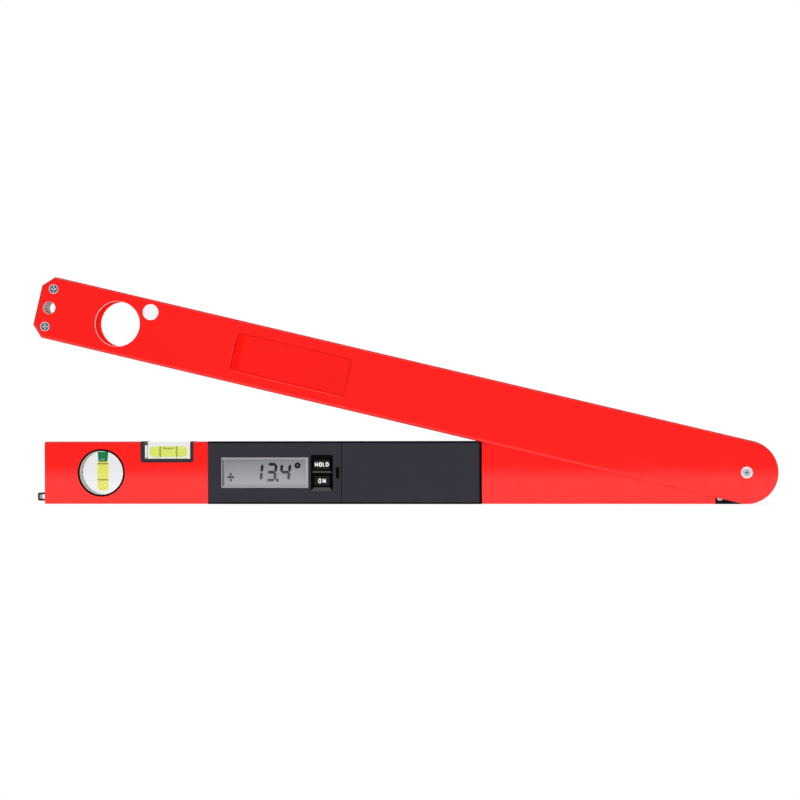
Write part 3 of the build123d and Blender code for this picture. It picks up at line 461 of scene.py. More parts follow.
# The LCD film darkens from its lower edge to its upper one: the housing's shadow, painted.
LCD_FILM_SHADOWED = PaintedShadeByHeight("lcd_film", (0.30, 0.31, 0.335), 0.35, 0.05, shine=0.3, low_colour=(0.60, 0.62, 0.66))
LABEL_PAPER = Print("label_paper", (0.89, 0.865, 0.90), 0.55, 0.05, 0.02)
LEGEND_WHITE = Print("legend_white", (0.95, 0.95, 0.95), 0.45, 0.05, 0.02)
LINE_INK = Print("vial_line", (0.05, 0.05, 0.01), 0.45, 0.05, 0.20)


@dataclass(frozen=True)
class Extent:
    """Box of a solid."""

    low: np.ndarray
    high: np.ndarray

    @classmethod
    def of(cls, node: str) -> "Extent":
        """Reads the box of a solid from the frame."""
        return cls(*(np.array(corner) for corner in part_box(node)))

    @property
    def centre(self) -> np.ndarray:
        """Gives the box's middle."""
        return (self.low + self.high) / 2

    @property
    def size(self) -> np.ndarray:
        """Gives the box's length along each axis."""
        return self.high - self.low


@dataclass
class Grid:
    """One surface patch: rows of points, each row a closed ring."""

    points: np.ndarray  # array of rows by ring points by three
    looped: bool = False  # whether the last row joins the first; otherwise both ends get a cap

    def faces(self, start: int) -> list[list[int]]:
        """Lists the patch's faces.

        Args:
            start: number of the patch's first point.

        Returns:
            The numbers of each face's points.
        """
        rows, ring = self.points.shape[:2]
        spans = rows if self.looped else rows - 1
        row, spot = np.meshgrid(np.arange(spans), np.arange(ring), indexing="ij")
        above, beside = (row + 1) % rows, (spot + 1) % ring
        corners = (row * ring + spot, row * ring + beside, above * ring + beside, above * ring + spot)
        quads = (np.stack(corners, axis=-1).reshape(-1, 4) + start).tolist()
        if self.looped:
            return quads
        first = np.arange(ring)[::-1] + start
        last = np.arange(ring) + start + (rows - 1) * ring
        return quads + [first.tolist(), last.tolist()]


def make_piece(
    name: str, grids: list[Grid], finish: Finish, body: Body = Body.BASE, instead_of: str | None = None
) -> None:
    """Makes one piece from its patches, at the origin.

    Args:
        name: the piece's name.
        grids: its patches, all in the part's frame.
        finish: its finish.
        body: the body that it rides on.
        instead_of: the solid that it takes the place of.
    """
    starts = np.cumsum([0] + [grid.points[..., 0].size for grid in grids])
    points = np.concatenate([grid.points.reshape(-1, 3) for grid in grids])
    faces = [face for grid, start in zip(grids, starts) for face in grid.faces(int(start))]
    mesh = bpy.data.meshes.new(name)
    mesh.from_pydata(points.tolist(), [], faces)
    shell = bmesh.new()
    shell.from_mesh(mesh)
    bmesh.ops.remove_doubles(shell, verts=shell.verts, dist=WELD)
    bmesh.ops.recalc_face_normals(shell, faces=shell.faces)
    shell.to_mesh(mesh)
    shell.free()
    mesh.shade_smooth()
    mesh.set_sharp_from_angle(angle=SHARP)
    mesh.materials.append(made(finish))
    piece = bpy.data.objects.new(name, mesh)
    bpy.context.scene.collection.objects.link(piece)
    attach(piece, body.value)
    if instead_of is not None:
        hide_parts(instead_of)
    log.info("piece %s on %s: %d faces", name, body.value, len(mesh.polygons))


def dress(finish: Finish, *nodes: str) -> None:
    """Gives solids of the frame a finish.

    Args:
        finish: the finish.
        nodes: names of the solids.
    """
    for node in nodes:
        piece = frame["nodes"][node]
        if not piece.material_slots:
            piece.data.materials.append(None)
        for holder in piece.material_slots:
            holder.material = made(finish)
        log.info("solid %s: %s", node, finish.name)


def turned(profile: np.ndarray, centre: np.ndarray, axis: np.ndarray, looped: bool = False) -> Grid:
    """Turns a profile round an axis.

    Each point is centre + distance * axis + radius * (cos t * side + sin t * across), for t round a full turn.

    Args:
        profile: rows of radius and distance along the axis.
        centre: point on the axis where the distance is 0.
        axis: unit vector.
        looped: whether the profile is a closed loop, as in a ring.

    Returns:
        The patch.
    """
    side = np.array((axis[1], axis[2], axis[0]))
    across = np.cross(axis, side)
    t = np.linspace(0, TURN, TURNED_STEPS, endpoint=False)
    circle = np.cos(t)[:, None] * side + np.sin(t)[:, None] * across
    radius, distance = profile[:, 0], profile[:, 1]
    return Grid(centre + distance[:, None, None] * axis + radius[:, None, None] * circle, looped)


def rounded_end(radius: float, start: float, edge: float, steps: int) -> np.ndarray:
    """Gives a rounded end: radius - edge * (1 - sin t) at start + edge * (1 - cos t), t over a quarter turn."""
    t = np.linspace(0, QUARTER, steps)
    return np.stack((radius - edge * (1 - np.sin(t)), start + edge * (1 - np.cos(t))), axis=-1)


def ellipsoid(centre: np.ndarray, radii: Triple) -> Grid:
    """Makes an ellipsoid: centre + (a cos p, b sin p cos t, c sin p sin t), p from pole to pole and t round it.

    Args:
        centre: its middle.
        radii: half lengths a, b and c along the axes.

    Returns:
        The patch.
    """
    p = np.linspace(0, np.pi, ELLIPSOID_STEPS[0])[:, None]
    t = np.linspace(0, TURN, ELLIPSOID_STEPS[1], endpoint=False)[None, :]
    offsets = (np.cos(p) + 0 * t, np.sin(p) * np.cos(t), np.sin(p) * np.sin(t))
    return Grid(centre + np.stack(offsets, axis=-1) * radii)


def stacked(
    centre: np.ndarray, size: np.ndarray, corner: float, rows: tuple[Triple, ...], looped: bool = False
) -> Grid:
    """Joins upright rounded rectangles, each at its own depth.

    A corner of a row lies at half the size less the row's insets and less the corner's radius, either way from the
    centre, and a quarter circle corner * (cos t, sin t) goes round it, t running on through the four corners.

    Args:
        centre: middle of the rectangles.
        size: their lengths without insets, of which x and z are used.
        corner: radius of their corners.
        rows: inset of the two ends, inset above and below, and y of each rectangle.
        looped: whether the last row joins the first.

    Returns:
        The patch.
    """
    t = np.linspace(0, QUARTER, CORNER_STEPS) + np.arange(4)[:, None] * QUARTER
    arcs = corner * np.stack((np.cos(t), np.sin(t)), axis=-1)
    signs = np.array(((1, 1), (-1, 1), (-1, -1), (1, -1)))
    insets, depth = np.split(np.array(rows), [2], axis=1)
    reach = size[[0, 2]] / 2 - insets - corner
    flat = centre[[0, 2]] + signs[None, :, None] * reach[:, None, None] + arcs
    return Grid(np.insert(flat.reshape(len(rows), -1, 2), 1, depth, axis=2), looped)


def ribbon(left: np.ndarray, right: np.ndarray, depth: Pair, looped: bool = False) -> Grid:
    """Joins two lines of x and z into a flat ribbon from a front to a back depth."""
    ring = ((left, depth[0]), (right, depth[0]), (right, depth[1]), (left, depth[1]))
    return Grid(np.stack([np.insert(edge, 1, y, axis=1) for edge, y in ring], axis=1), looped)


def stroke(path: np.ndarray, width: float, end: StrokeEnd, depth: Pair) -> Grid:
    """Draws a flat stroke of ink along a path.

    At a distance s from its nearer end the half width is h for a square end, min(h, s) for a pointed one and
    sqrt(h^2 - max(0, h - s)^2) for a round one, laid off either side along the path's normal.

    Args:
        path: points of x and z, in metres.
        width: the stroke's full width h * 2.
        end: how it ends.
        depth: y of its front and of its back.

    Returns:
        The patch.
    """
    half = width / 2
    steps = np.linalg.norm(np.diff(path, axis=0), axis=1)
    run = np.concatenate(([0], np.cumsum(steps)))
    marks = np.unique(np.concatenate((run, half * (1 - np.cos(np.linspace(0, QUARTER, STROKE_STEPS))))))
    marks = np.unique(np.concatenate((marks, run[-1] - marks)))
    line = np.stack([np.interp(marks, run, path[:, i]) for i in range(2)], axis=-1)
    heading = np.gradient(line, axis=0)
    heading /= np.linalg.norm(heading, axis=1)[:, None]
    normal = np.stack((-heading[:, 1], heading[:, 0]), axis=-1)
    near = np.minimum(marks, run[-1] - marks)
    if end is StrokeEnd.POINTED:
        reach = np.minimum(half, near)
    elif end is StrokeEnd.ROUND:
        reach = np.sqrt(half**2 - np.maximum(0, half - near) ** 2)
    else:
        reach = np.full_like(marks, half)
    return ribbon(line + normal * reach[:, None], line - normal * reach[:, None], depth)


def loop_stroke(centre: Pair, radii: Pair, width: float, depth: Pair) -> Grid:
    """Draws a closed oval stroke.

    The outline is centre + (a cos t, b sin t), with a and b half a width more outside and half a width less inside.

    Args:
        centre: x and z of its middle.
        radii: half width and half height of the stroke's middle line.
        width: the stroke's full width.
        depth: y of its front and of its back.

    Returns:
        The patch.
    """
    t = np.linspace(0, TURN, LOOP_STEPS, endpoint=False)
    circle = np.stack((np.cos(t), np.sin(t)), axis=-1)
    outer, inner = (centre + (np.array(radii) + side * width / 2) * circle for side in (1, -1))
    return ribbon(outer, inner, depth, looped=True)


def cross(centre: np.ndarray, length: float, width: float, thickness: float) -> list[Grid]:
    """Draws a cross of two square strokes.

    Args:
        centre: middle of the cross.
        length: length of each stroke.
        width: width of each stroke.
        thickness: how far it reaches from the centre's depth, towards the rear if positive.

    Returns:
        The two patches.
    """
    x, y, z = centre
    half = length / 2
    paths = ((x - half, z), (x + half, z)), ((x, z - half), (x, z + half))
    return [stroke(np.array(path), width, StrokeEnd.SQUARE, (y, y + thickness)) for path in paths]


@dataclass(frozen=True)
class ArmLine:
    """The arm's own line in the rest pose."""

    pivot: Pair
    angle: float  # angle between the legs, in radians

    @classmethod
    def read(cls) -> "ArmLine":
        """Reads the line from the frame's hinge.

        Returns:
            The line.
        """
        hinge = next(joint for joint in frame["joints"] if joint["name"] == "arm_swing")
        x, _, z = hinge["pos_m"]
        return cls((x, z), np.radians(-hinge["range_deg"][0]))

    def at(self, reach: float, rise: float, depth: float) -> np.ndarray:
        """Gives the point at a distance from the pivot and a height across the arm, at a depth."""
        cos, sin = np.cos(self.angle), np.sin(self.angle)
        return np.array((self.pivot[0] - reach * cos + rise * sin, depth, self.pivot[1] + reach * sin + rise * cos))


@dataclass
class Base:
    """Base leg: the coated tube, its end cap and the hinge parts fixed to it."""

    def build(self) -> None:
        """Dresses the solids of the base leg."""
        dress(RED_COAT, "base_tube")
        dress(BLACK_GLOSS, "end_cap")
        dress(BLACK_PLASTIC, "hinge_block", "hinge_cover", "sensor_chip")
        dress(ZINC, "hinge_cover_screws", "hinge_block_screws")
        dress(BRONZE, "pivot_bushes")
        dress(BOARD, "sensor_board")
        dress(RUBBER, "sensor_cable")


@dataclass
class Arm:
    """Swinging leg: two coated plates, the end block between them, screws and label."""

    # distance of the end screws from the pivot and their height across the arm
    end_places: Pairs = ((439.1 * MM, 11.9 * MM), (439.1 * MM, -11.9 * MM))
    end_head: float = 2.9 * MM  # radius of their heads
    end_rim: float = 2.35 * MM  # inner radius of the pale rim on a head, a painted reflection
    pivot_flat: float = 2.35 * MM  # radius of the flat on a pivot screw's head
    pivot_rim: float = 2.5 * MM  # inner radius of the pale rim on it, a painted reflection
    # distance from the pivot and radius of the finger hole and of the hanging hole
    holes: Pairs = ((395.5 * MM, 13.85 * MM), (439.1 * MM, 3.7 * MM))
    edge: float = 0.3 * MM  # width of the chamfer round a hole
    bare: float = 0.4  # share of the chamfer that is bare metal
    recess_share: float = 0.6  # length of a cross recess, as a share of the head's width
    recess_slot: float = 0.33  # width of its slots, as a share of the head's radius
    recess_depth: float = 0.9 * MM  # its depth
    recess_fill: float = 0.75  # share of the depth that the toned floor takes, whose tone paints the recess's light and shade
    skin: float = 0.02 * MM  # how far a floor stands clear of its recess, and half the thickness of a bare edge

    def drive(self, centre: np.ndarray, head: float, side: Side) -> list[Grid]:
        """Makes the toned floor of a cross recess, whose tone paints the recess's light and shade.

        Args:
            centre: middle of the head's face.
            head: the head's radius.
            side: the side that the head faces.

        Returns:
            The patches of the cross.
        """
        depth = self.recess_depth
        floor = centre - side * depth * (1 - self.recess_fill) * REARWARD
        width = head * self.recess_slot - 2 * self.skin
        length = 2 * head * self.recess_share - 2 * self.skin
        return cross(floor, length, width, -side * (depth * self.recess_fill - self.skin))

    def screws(self, node: str, name: str, places: Pairs, head: float, heads: Heads, floor: Metal) -> None:
        """Dresses screws that show and puts toned floors, painted light and shade, in their recesses.

        Args:
            node: the screws' solid.
            name: name of the piece with the floors.
            places: distance from the pivot and height across the arm of each screw.
            head: radius of the face that the recess is cut in.
            heads: finish of the screws, to which their middles are added.
            floor: finish of the floors, which paints the recesses' light and shade.
        """
        line = ArmLine.read()
        spots = [line.at(*place, 0) for place in places]
        dress(replace(heads, centres=tuple((float(x), float(z)) for x, _, z in spots)), node)
        drives = [
            grid
            for place in places
            for corner, side in zip(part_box(node), Side)
            for grid in self.drive(line.at(*place, corner.y), head, side)
        ]
        make_piece(name, drives, floor, Body.ARM)

    def bare_edges(self) -> None:
        """Makes the bare chamfers round the holes: a slanted strip turned round each hole's axis."""
        line = ArmLine.read()
        faces = ((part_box("front_plate")[0].y, 1), (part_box("rear_plate")[1].y, -1))
        near, far = self.edge * (1 + self.bare) / 2, self.edge * (1 - self.bare) / 2
        outside, inside = np.array((near, far)), np.array((far, near))
        strip = np.stack((outside - self.skin, inside - self.skin, inside + self.skin, outside + self.skin))
        grids = [
            turned(strip + (radius, 0), line.at(reach, 0, face), inward * REARWARD, looped=True)
            for reach, radius in self.holes
            for face, inward in faces
        ]
        make_piece("bare_edges", grids, BARE_EDGE, Body.ARM)

    def build(self) -> None:
        """Dresses the solids of the arm and adds the screws' details."""
        dress(RED_COAT, "front_plate", "rear_plate")
        dress(GREY_PLASTIC, "end_block")
        dress(STEEL, "pivot_shaft")
        dress(PALE_PLASTIC, "friction_washers")
        dress(CODE_FILM, "code_disc")
        dress(LABEL_PAPER, "round_label")
        # the heads' pale rims are painted reflections
        ends, pivots = replace(END_HEADS, radius=self.end_rim), replace(PIVOT_HEADS, radius=self.pivot_rim)
        # pale floors: painted light in the end screws' recesses
        self.screws("end_block_screws", "end_screw_recesses", self.end_places, self.end_head, ends, RECESS_PAINTED_LIGHT)
        # dark floors: painted shade in the pivot screw's recesses
        self.screws("pivot_screws", "pivot_screw_recesses", ((0.0, 0.0),), self.pivot_flat, pivots, RECESS_PAINTED_SHADE)
        self.bare_edges()


@dataclass
class Display:
    """Display window with its reading, and the battery bay behind the cover."""

    digit_height: float = 11.5 * MM
    digit_width: float = 6.7 * MM  # width of a digit, without its slant
    digit_pitch: float = 8.55 * MM  # distance from digit to digit
    first_digit: float = -77.85 * MM  # x of the lower left corner of the first digit
    baseline: float = 13.7 * MM  # height of the digits' lower edge
    slant: float = 0.11  # sideways shift per unit of height
    segment: float = 1.75 * MM
    gap: float = 0.08 * MM  # gap between neighbouring segments
    film: float = 0.03 * MM  # thickness of the printed segments and of other thin layers
    fade: float = 0.8  # share of a digit's height over which its contrast fades downwards, as a painted reflection on the lens
    degree_middle: Pair = (-49.2 * MM, 23.55 * MM)  # x and z of the degree sign
    degree_radius: float = 1.15 * MM  # radius of its middle line
    degree_weight: float = 0.84  # width of its line, as a share of a segment's
    sign_middle: Pair = (-90.5 * MM, 16.4 * MM)  # x and z of the sign before the digits
    sign_length: float = 4.9 * MM  # its length both ways
    sign_weight: float = 0.85  # width of its strokes, as a share of a segment's
    post_start: float = 0.6  # where its upright strokes begin, as a share of a segment's width
    post_end: float = 1.05  # where they end, as a share of half its length
    lens_bevel: float = 0.35 * MM  # bevel round the lens
    lens_corner: float = 0.4 * MM
    lens_rim: float = 0.38 * MM  # width of the pale rim on the lens, a painted highlight on its bevel
    funnel_lip: float = 0.50 * MM  # inset of the funnel behind the lens
    funnel_corner: float = 0.3 * MM
    sight_side: float = 2.0 * MM  # inset of the funnel's two ends at the panel
    sight_edge: float = 1.3 * MM  # inset of its upper and lower edge at the panel
    strip_reach: float = 0.8  # how far down the left wall the strip of painted shadow reaches, as a share of sight_side
    latch_middle: float = 2.3 * MM  # distance of the latch slot's middle from the housing's right end
    latch_size: Pair = (2.0 * MM, 6.9 * MM)  # width and height of the slot
    latch_corner: float = 0.2 * MM  # radius of its corners
    latch_depth: float = 1.7 * MM  # depth of its floor
    seam: float = 0.3 * MM  # width of the seam between housing and cover
    seam_shadow: float = 0.43 * MM  # width of the painted shadow in it, a dark band
    border: float = 0.9 * MM  # width of the painted shade along the upper and lower edges
    end_border: float = 1.5 * MM  # width of the painted shade at the cover's end
    band_corner: float = 0.05 * MM  # radius of a dark band's corners
    tongue: float = 3.1 * MM  # length of the cover's hidden tongue

    def depth(self) -> Pair:
        """Gives the front and back of the printed segments, on the panel's front face."""
        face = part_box("lcd_panel")[0].y
        return face - self.film, face

    def slanted(self, x: float, z: float) -> Pair:
        """Shifts a point of a digit sideways by its height above the baseline."""
        return x + self.slant * (z - self.baseline), z

    def bar(self, start: Pair, end: Pair) -> Grid:
        """Draws one segment from point to point, shortened by the gap.

        Args:
            start: x and z of its first end, before the slant.
            end: the same for its other end.

        Returns:
            The patch.
        """
        path = np.array((self.slanted(*start), self.slanted(*end)))
        heading = (path[1] - path[0]) / np.linalg.norm(path[1] - path[0])
        path += np.stack((heading, -heading)) * self.gap
        return stroke(path, self.segment, StrokeEnd.POINTED, self.depth())

    def digit(self, place: int, lit: str) -> list[Grid]:
        """Draws a seven-segment digit.

        Args:
            place: its place from the left, from 0.
            lit: letters of the segments that are lit, a to g in the usual order.

        Returns:
            One patch for each lit segment.
        """
        half = self.segment / 2
        left = self.first_digit + place * self.digit_pitch + half
        right = left + self.digit_width - self.segment
        low, high = self.baseline + half, self.baseline + self.digit_height - half
        middle = (low + high) / 2
        ends = {
            "a": ((left, high), (right, high)),
            "b": ((right, middle), (right, high)),
            "c": ((right, low), (right, middle)),
            "d": ((left, low), (right, low)),
            "e": ((left, low), (left, middle)),
            "f": ((left, middle), (left, high)),
            "g": ((left, middle), (right, middle)),
        }
        return [self.bar(*ends[letter]) for letter in lit]

    def sign(self) -> list[Grid]:
        """Draws the sign before the digits: a pointed bar and two posts that stand off it.

        Returns:
            One patch for each stroke.
        """
        x, z = self.sign_middle
        half, weight = self.sign_length / 2, self.sign_weight * self.segment
        grids = [stroke(np.array(((x - half, z), (x + half, z))), weight, StrokeEnd.POINTED, self.depth())]
        for side in (1, -1):
            start, end = side * self.post_start * self.segment, side * self.post_end * half
            grids.append(stroke(np.array(((x, z + start), (x, z + end))), weight, StrokeEnd.SQUARE, self.depth()))
        return grids

    def reading(self) -> None:
        """Draws the angle on the panel: 13.4 degrees, with its sign."""
        grids = self.digit(0, "bc") + self.digit(1, "abcdg") + self.digit(2, "bcfg")
        point = self.first_digit + 2 * self.digit_pitch - (self.digit_pitch - self.digit_width) / 2
        dot = np.array(((point, self.baseline), (point, self.baseline + self.segment)))
        grids.append(stroke(dot, self.segment, StrokeEnd.SQUARE, self.depth()))
        radii, weight = (self.degree_radius,) * 2, self.degree_weight * self.segment
        grids.append(loop_stroke(self.degree_middle, radii, weight, self.depth()))
        # painted reflection: the ink lightens towards the digits' foot
        ink = replace(LCD_INK_REFLECTION, low=self.baseline, high=self.baseline + self.fade * self.digit_height)
        make_piece("lcd_reading", grids + self.sign(), ink)

    def lens(self) -> None:
        """Makes the lens: a rectangle with a bevel round its front, inset by it at the front face."""
        box, bevel = Extent.of("display_lens"), self.lens_bevel
        front, back = box.low[1], box.high[1]
        rows = ((0.0, 0.0, back), (0.0, 0.0, front + bevel), (bevel, bevel, front))
        plate = stacked(box.centre, box.size, self.lens_corner, rows)
        make_piece("lens_plate", [plate], LENS, instead_of="display_lens")

    def mask(self) -> None:
        """Makes the grey funnel between lens and panel: four rounded rectangles joined in a loop."""
        box, panel = Extent.of("display_lens"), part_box("lcd_panel")[0].y
        lip, side, edge, skin = self.funnel_lip, self.sight_side, self.sight_edge, 2 * self.film
        front, back = box.high[1] + skin, panel - skin
        inner, outer = ((lip, lip, front), (side, edge, back)), ((side, edge, back), (lip, lip, front))
        rows = inner + tuple((end - skin, rim - skin, y) for end, rim, y in outer)
        funnel = stacked(box.centre, box.size, self.funnel_corner, rows, looped=True)
        make_piece("display_mask", [funnel], SIGHT_GREY)

    def rim(self) -> None:
        """Makes the pale rim on the lens, a painted highlight on its bevel: two rounded rectangles at the front, two
        behind them, in a loop.
        """
        box, rim = Extent.of("display_lens"), self.lens_rim
        front, back = box.low[1], box.low[1] + 2 * self.film
        rows = ((0.0, 0.0, back), (0.0, 0.0, front), (rim, rim, front), (rim, rim, back))
        border = stacked(box.centre, box.size, self.lens_corner, rows, looped=True)
        make_piece("lens_rim", [border], LENS_HIGHLIGHT_RIM)

    def shade_strip(self) -> None:
        """Makes a painted shadow on the funnel's left wall: a dark strip, its slanted section carried up along the
        wall.
        """
        box, panel = Extent.of("display_lens"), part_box("lcd_panel")[0].y
        reach = np.array((self.funnel_lip, self.strip_reach * self.sight_side))
        wall = np.interp(reach, (self.funnel_lip, self.sight_side), (box.high[1], panel))
        section = np.stack((box.low[0] + reach, wall), axis=-1)
        ring = np.concatenate((section - (0, self.film), section[::-1] + (0, self.film)))
        heights = (box.low[2] + self.sight_edge, box.high[2] - self.sight_edge)
        strip = Grid(np.stack([np.insert(ring, 2, z, axis=1) for z in heights]))
        make_piece("sight_strip", [strip], SIGHT_PAINTED_SHADOW)

    def latch(self) -> None:
        """Makes the floor of the latch slot, the cover's dark tongue drawn black as painted shade: two rounded
        rectangles, one behind the other.
        """
        box = Extent.of("display_housing")
        middle = box.centre
        middle[0] = box.high[0] - self.latch_middle
        width, height = self.latch_size
        front = box.low[1] + self.latch_depth
        rows = ((0.0, 0.0, front), (0.0, 0.0, front + self.film))
        floor = stacked(middle, np.array((width, 0.0, height)), self.latch_corner, rows)
        make_piece("latch_floor", [floor], KEY_BLACK)

    def band(self, x: float, z: float, width: float, height: float) -> Grid:
        """Makes a thin band on the module's face: two rounded rectangles, one just behind the other.

        Args:
            x: middle of the band along the leg.
            z: height of its middle.
            width: its length along the leg.
            height: its upright length.

        Returns:
            The band's patch.
        """
        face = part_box("display_housing")[0].y
        rows = ((0.0, 0.0, face - self.film), (0.0, 0.0, face + self.film))
        return stacked(np.array((x, face, z)), np.array((width, 0.0, height)), self.band_corner, rows)

    def painted_edge_shade(self) -> None:
        """Makes dark bands of painted shade: the shadow in the seam beside the cover and the shade along the edges of
        housing and cover.
        """
        low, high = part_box("display_housing")
        seam, middle, tall = high.x + self.seam / 2, (low.z + high.z) / 2, high.z - low.z
        # painted shadow in the seam
        seam_shadow = self.band(seam, middle, self.seam_shadow, tall - 2 * self.border)
        make_piece("seam_seal", [seam_shadow], KEY_BLACK)
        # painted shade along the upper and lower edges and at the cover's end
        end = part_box("battery_cover")[1].x - self.tongue
        across, wide = (low.x + end) / 2, end - low.x
        edges = [self.band(across, z, wide, self.border) for z in (high.z - self.border / 2, low.z + self.border / 2)]
        edges.append(self.band(end - self.end_border / 2, middle, self.end_border, tall - 2 * self.border))
        make_piece("module_edges", edges, KEY_BLACK)

    def build(self) -> None:
        """Builds the window's pieces and dresses the solids of the module."""
        self.reading()
        self.lens()
        self.mask()
        self.rim()
        self.shade_strip()
        self.latch()
        self.painted_edge_shade()
        low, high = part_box("display_lens")
        dress(DARK_PLASTIC, "display_housing", "battery_cover")
        # painted shadow: the film darkens towards the lens's upper edge
        dress(replace(LCD_FILM_SHADOWED, low=low.z, high=high.z), "lcd_panel")
        dress(BOARD, "main_board")
        dress(BLACK_PLASTIC, "controller_chip", "key_switches", "battery_tray")
        dress(ZINC, "board_screws", "module_screws")
        dress(CELL_SLEEVE, "battery_cells")
        dress(SPRING_STRIP, "bridge_contact", "positive_contact", "negative_contact")
        dress(RUBBER, "lcd_strips", "power_leads")


@dataclass
class Keys:
    """The two keys, their bezel and their printed words."""

    letter_height: float = 3.0 * MM
    letter_width: float = 1.98 * MM
    narrow_width: float = 1.5 * MM  # width of the letter L
    gaps: Pair = (0.42 * MM, 0.78 * MM)  # gap between letters, on the upper and on the lower key
    weight: float = 0.58 * MM  # width of a letter's strokes
    film: float = 0.02 * MM  # thickness of the print
    lift: float = 0.001 * MM  # how far each stroke stands in front of the one before, so that no two share a face
    flange: float = 0.8 * MM  # how far a key's hidden flange stands out round its face
    mouth: float = 1.5 * MM  # how far the bezel's slope reaches out round a key's face
    # drop below the key's face and half width of the lower grey band, a painted highlight on the bezel's lower slope,
    # from its foot up
    long_sill: Pairs = ((3.4 * MM, 6.75 * MM), (1.5 * MM, 5.2 * MM), (0.95 * MM, 4.75 * MM))
    # the same for the band between the keys
    short_sill: Pairs = ((2.1 * MM, 5.9 * MM), (1.5 * MM, 5.7 * MM), (1.0 * MM, 5.4 * MM))

    def width(self, sign: str) -> float:
        """Gives the width of a letter."""
        return self.narrow_width if sign == "L" else self.letter_width

    def letter(self, sign: str, left: float, low: float, depth: Pair) -> list[Grid]:
        """Draws one capital letter from strokes.

        Args:
            sign: the letter.
            left: x of its left edge.
            low: z of its lower edge.
            depth: y of its front and back.

        Returns:
            One patch for each stroke.
        """
        half = self.weight / 2
        x0, x1 = left + half, left + self.width(sign) - half
        z0, z1 = low + half, low + self.letter_height - half
        xm, zm = (x0 + x1) / 2, (z0 + z1) / 2
        if sign == "O":
            return [loop_stroke((xm, zm), ((x1 - x0) / 2, (z1 - z0) / 2), self.weight, depth)]
        t = np.linspace(-QUARTER, QUARTER, BOW_STEPS)
        bow = np.stack((x0 + (x1 - x0) * np.cos(t), zm + (z1 - z0) / 2 * np.sin(t)), axis=-1)
        paths = {
            "H": [((x0, z0), (x0, z1)), ((x1, z0), (x1, z1)), ((x0, zm), (x1, zm))],
            "L": [((x0, z1), (x0, z0)), ((x0, z0), (x1, z0))],
            "D": [((x0, z0), (x0, z1)), bow],
            "N": [((x0, z0), (x0, z1)), ((x0, z1), (x1, z0)), ((x1, z0), (x1, z1))],
        }
        return [stroke(np.array(path), self.weight, StrokeEnd.ROUND, depth) for path in paths[sign]]

    def word(self, text: str, node: str, body: Body, gap: float) -> None:
        """Prints a word in the middle of a key's face.

        Args:
            text: the word.
            node: the key.
            body: the key's body.
            gap: gap between letters.
        """
        box = Extent.of(node)
        ends = np.cumsum([self.width(sign) + gap for sign in text])
        lefts = box.centre[0] - (ends[-1] - gap) / 2 + np.concatenate(([0], ends[:-1]))
        base, face = box.centre[2] - self.letter_height / 2, box.low[1]
        depth = (face - self.film, face + self.film)
        grids = [grid for sign, left in zip(text, lefts) for grid in self.letter(sign, left, base, depth)]
        for order, grid in enumerate(grids):
            grid.points[..., 1] -= order * self.lift
        make_piece(f"{node}_word", grids, LEGEND_WHITE, body)

    def sill(self, node: str, steps: Pairs) -> Grid:
        """Makes the grey band under a key: a painted highlight on the bezel's lower slope.

        At a drop d below the key's face it lies on the bezel's border, or max(0, mouth - d) behind it on the slope.

        Args:
            node: the key.
            steps: drop and half width of each section, from the foot up.

        Returns:
            The patch.
        """
        box = Extent.of(node)
        drop, half = np.array(steps).T
        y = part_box("key_bezel")[0].y + np.maximum(0, self.mouth - drop)
        x, z = box.centre[0], box.low[2] + self.flange - drop
        corners = ((-1, -1), (1, -1), (1, 1), (-1, 1))
        columns = [np.stack((x + side * half, y + depth * self.film, z), axis=-1) for side, depth in corners]
        return Grid(np.stack(columns, axis=1))

    def build(self) -> None:
        """Prints both words and dresses keys and bezel."""
        # the grey bands are painted highlights on the bezel's lower slopes
        sills = [self.sill("hold_button", self.short_sill), self.sill("on_button", self.long_sill)]
        make_piece("key_sills", sills, KEY_SLOPE_HIGHLIGHT)
        self.word("HOLD", "hold_button", Body.HOLD_KEY, self.gaps[0])
        self.word("ON", "on_button", Body.ON_KEY, self.gaps[1])
        dress(KEY_BLACK, "key_bezel")
        dress(KEY_PAD, "hold_button", "on_button")


@dataclass
class Vial:
    """A tube of liquid in a clear block, with two lines round it."""

    line_offset: float  # distance of each line from the vial's middle
    line_width: float  # width of a line
    rim: float  # size of the block's softened rim
    line_sink: float = 0.02 * MM  # how far a line reaches into the liquid
    line_stand: float = 0.05 * MM  # how far it stands out of it
    round_end: float = 2.4 * MM  # radius of the vial's rounded ends
    overlap: float = 0.06 * MM  # how far the liquid reaches into the block, so that no air gap shows

    def lines(self, name: str, radius: float, middle: np.ndarray, axis: np.ndarray) -> None:
        """Makes the two lines: flat rings round the liquid.

        Args:
            name: name of the piece.
            radius: the liquid's radius.
            middle: point on the vial's axis half way between the lines.
            axis: direction of that axis.
        """
        inner, outer, half = radius - self.line_sink, radius + self.line_stand, self.line_width / 2
        ring = np.array(((inner, -half), (outer, -half), (outer, half), (inner, half)))
        grids = [turned(ring, middle + side * self.line_offset * axis, axis, looped=True) for side in (1, -1)]
        make_piece(name, grids, LINE_INK)


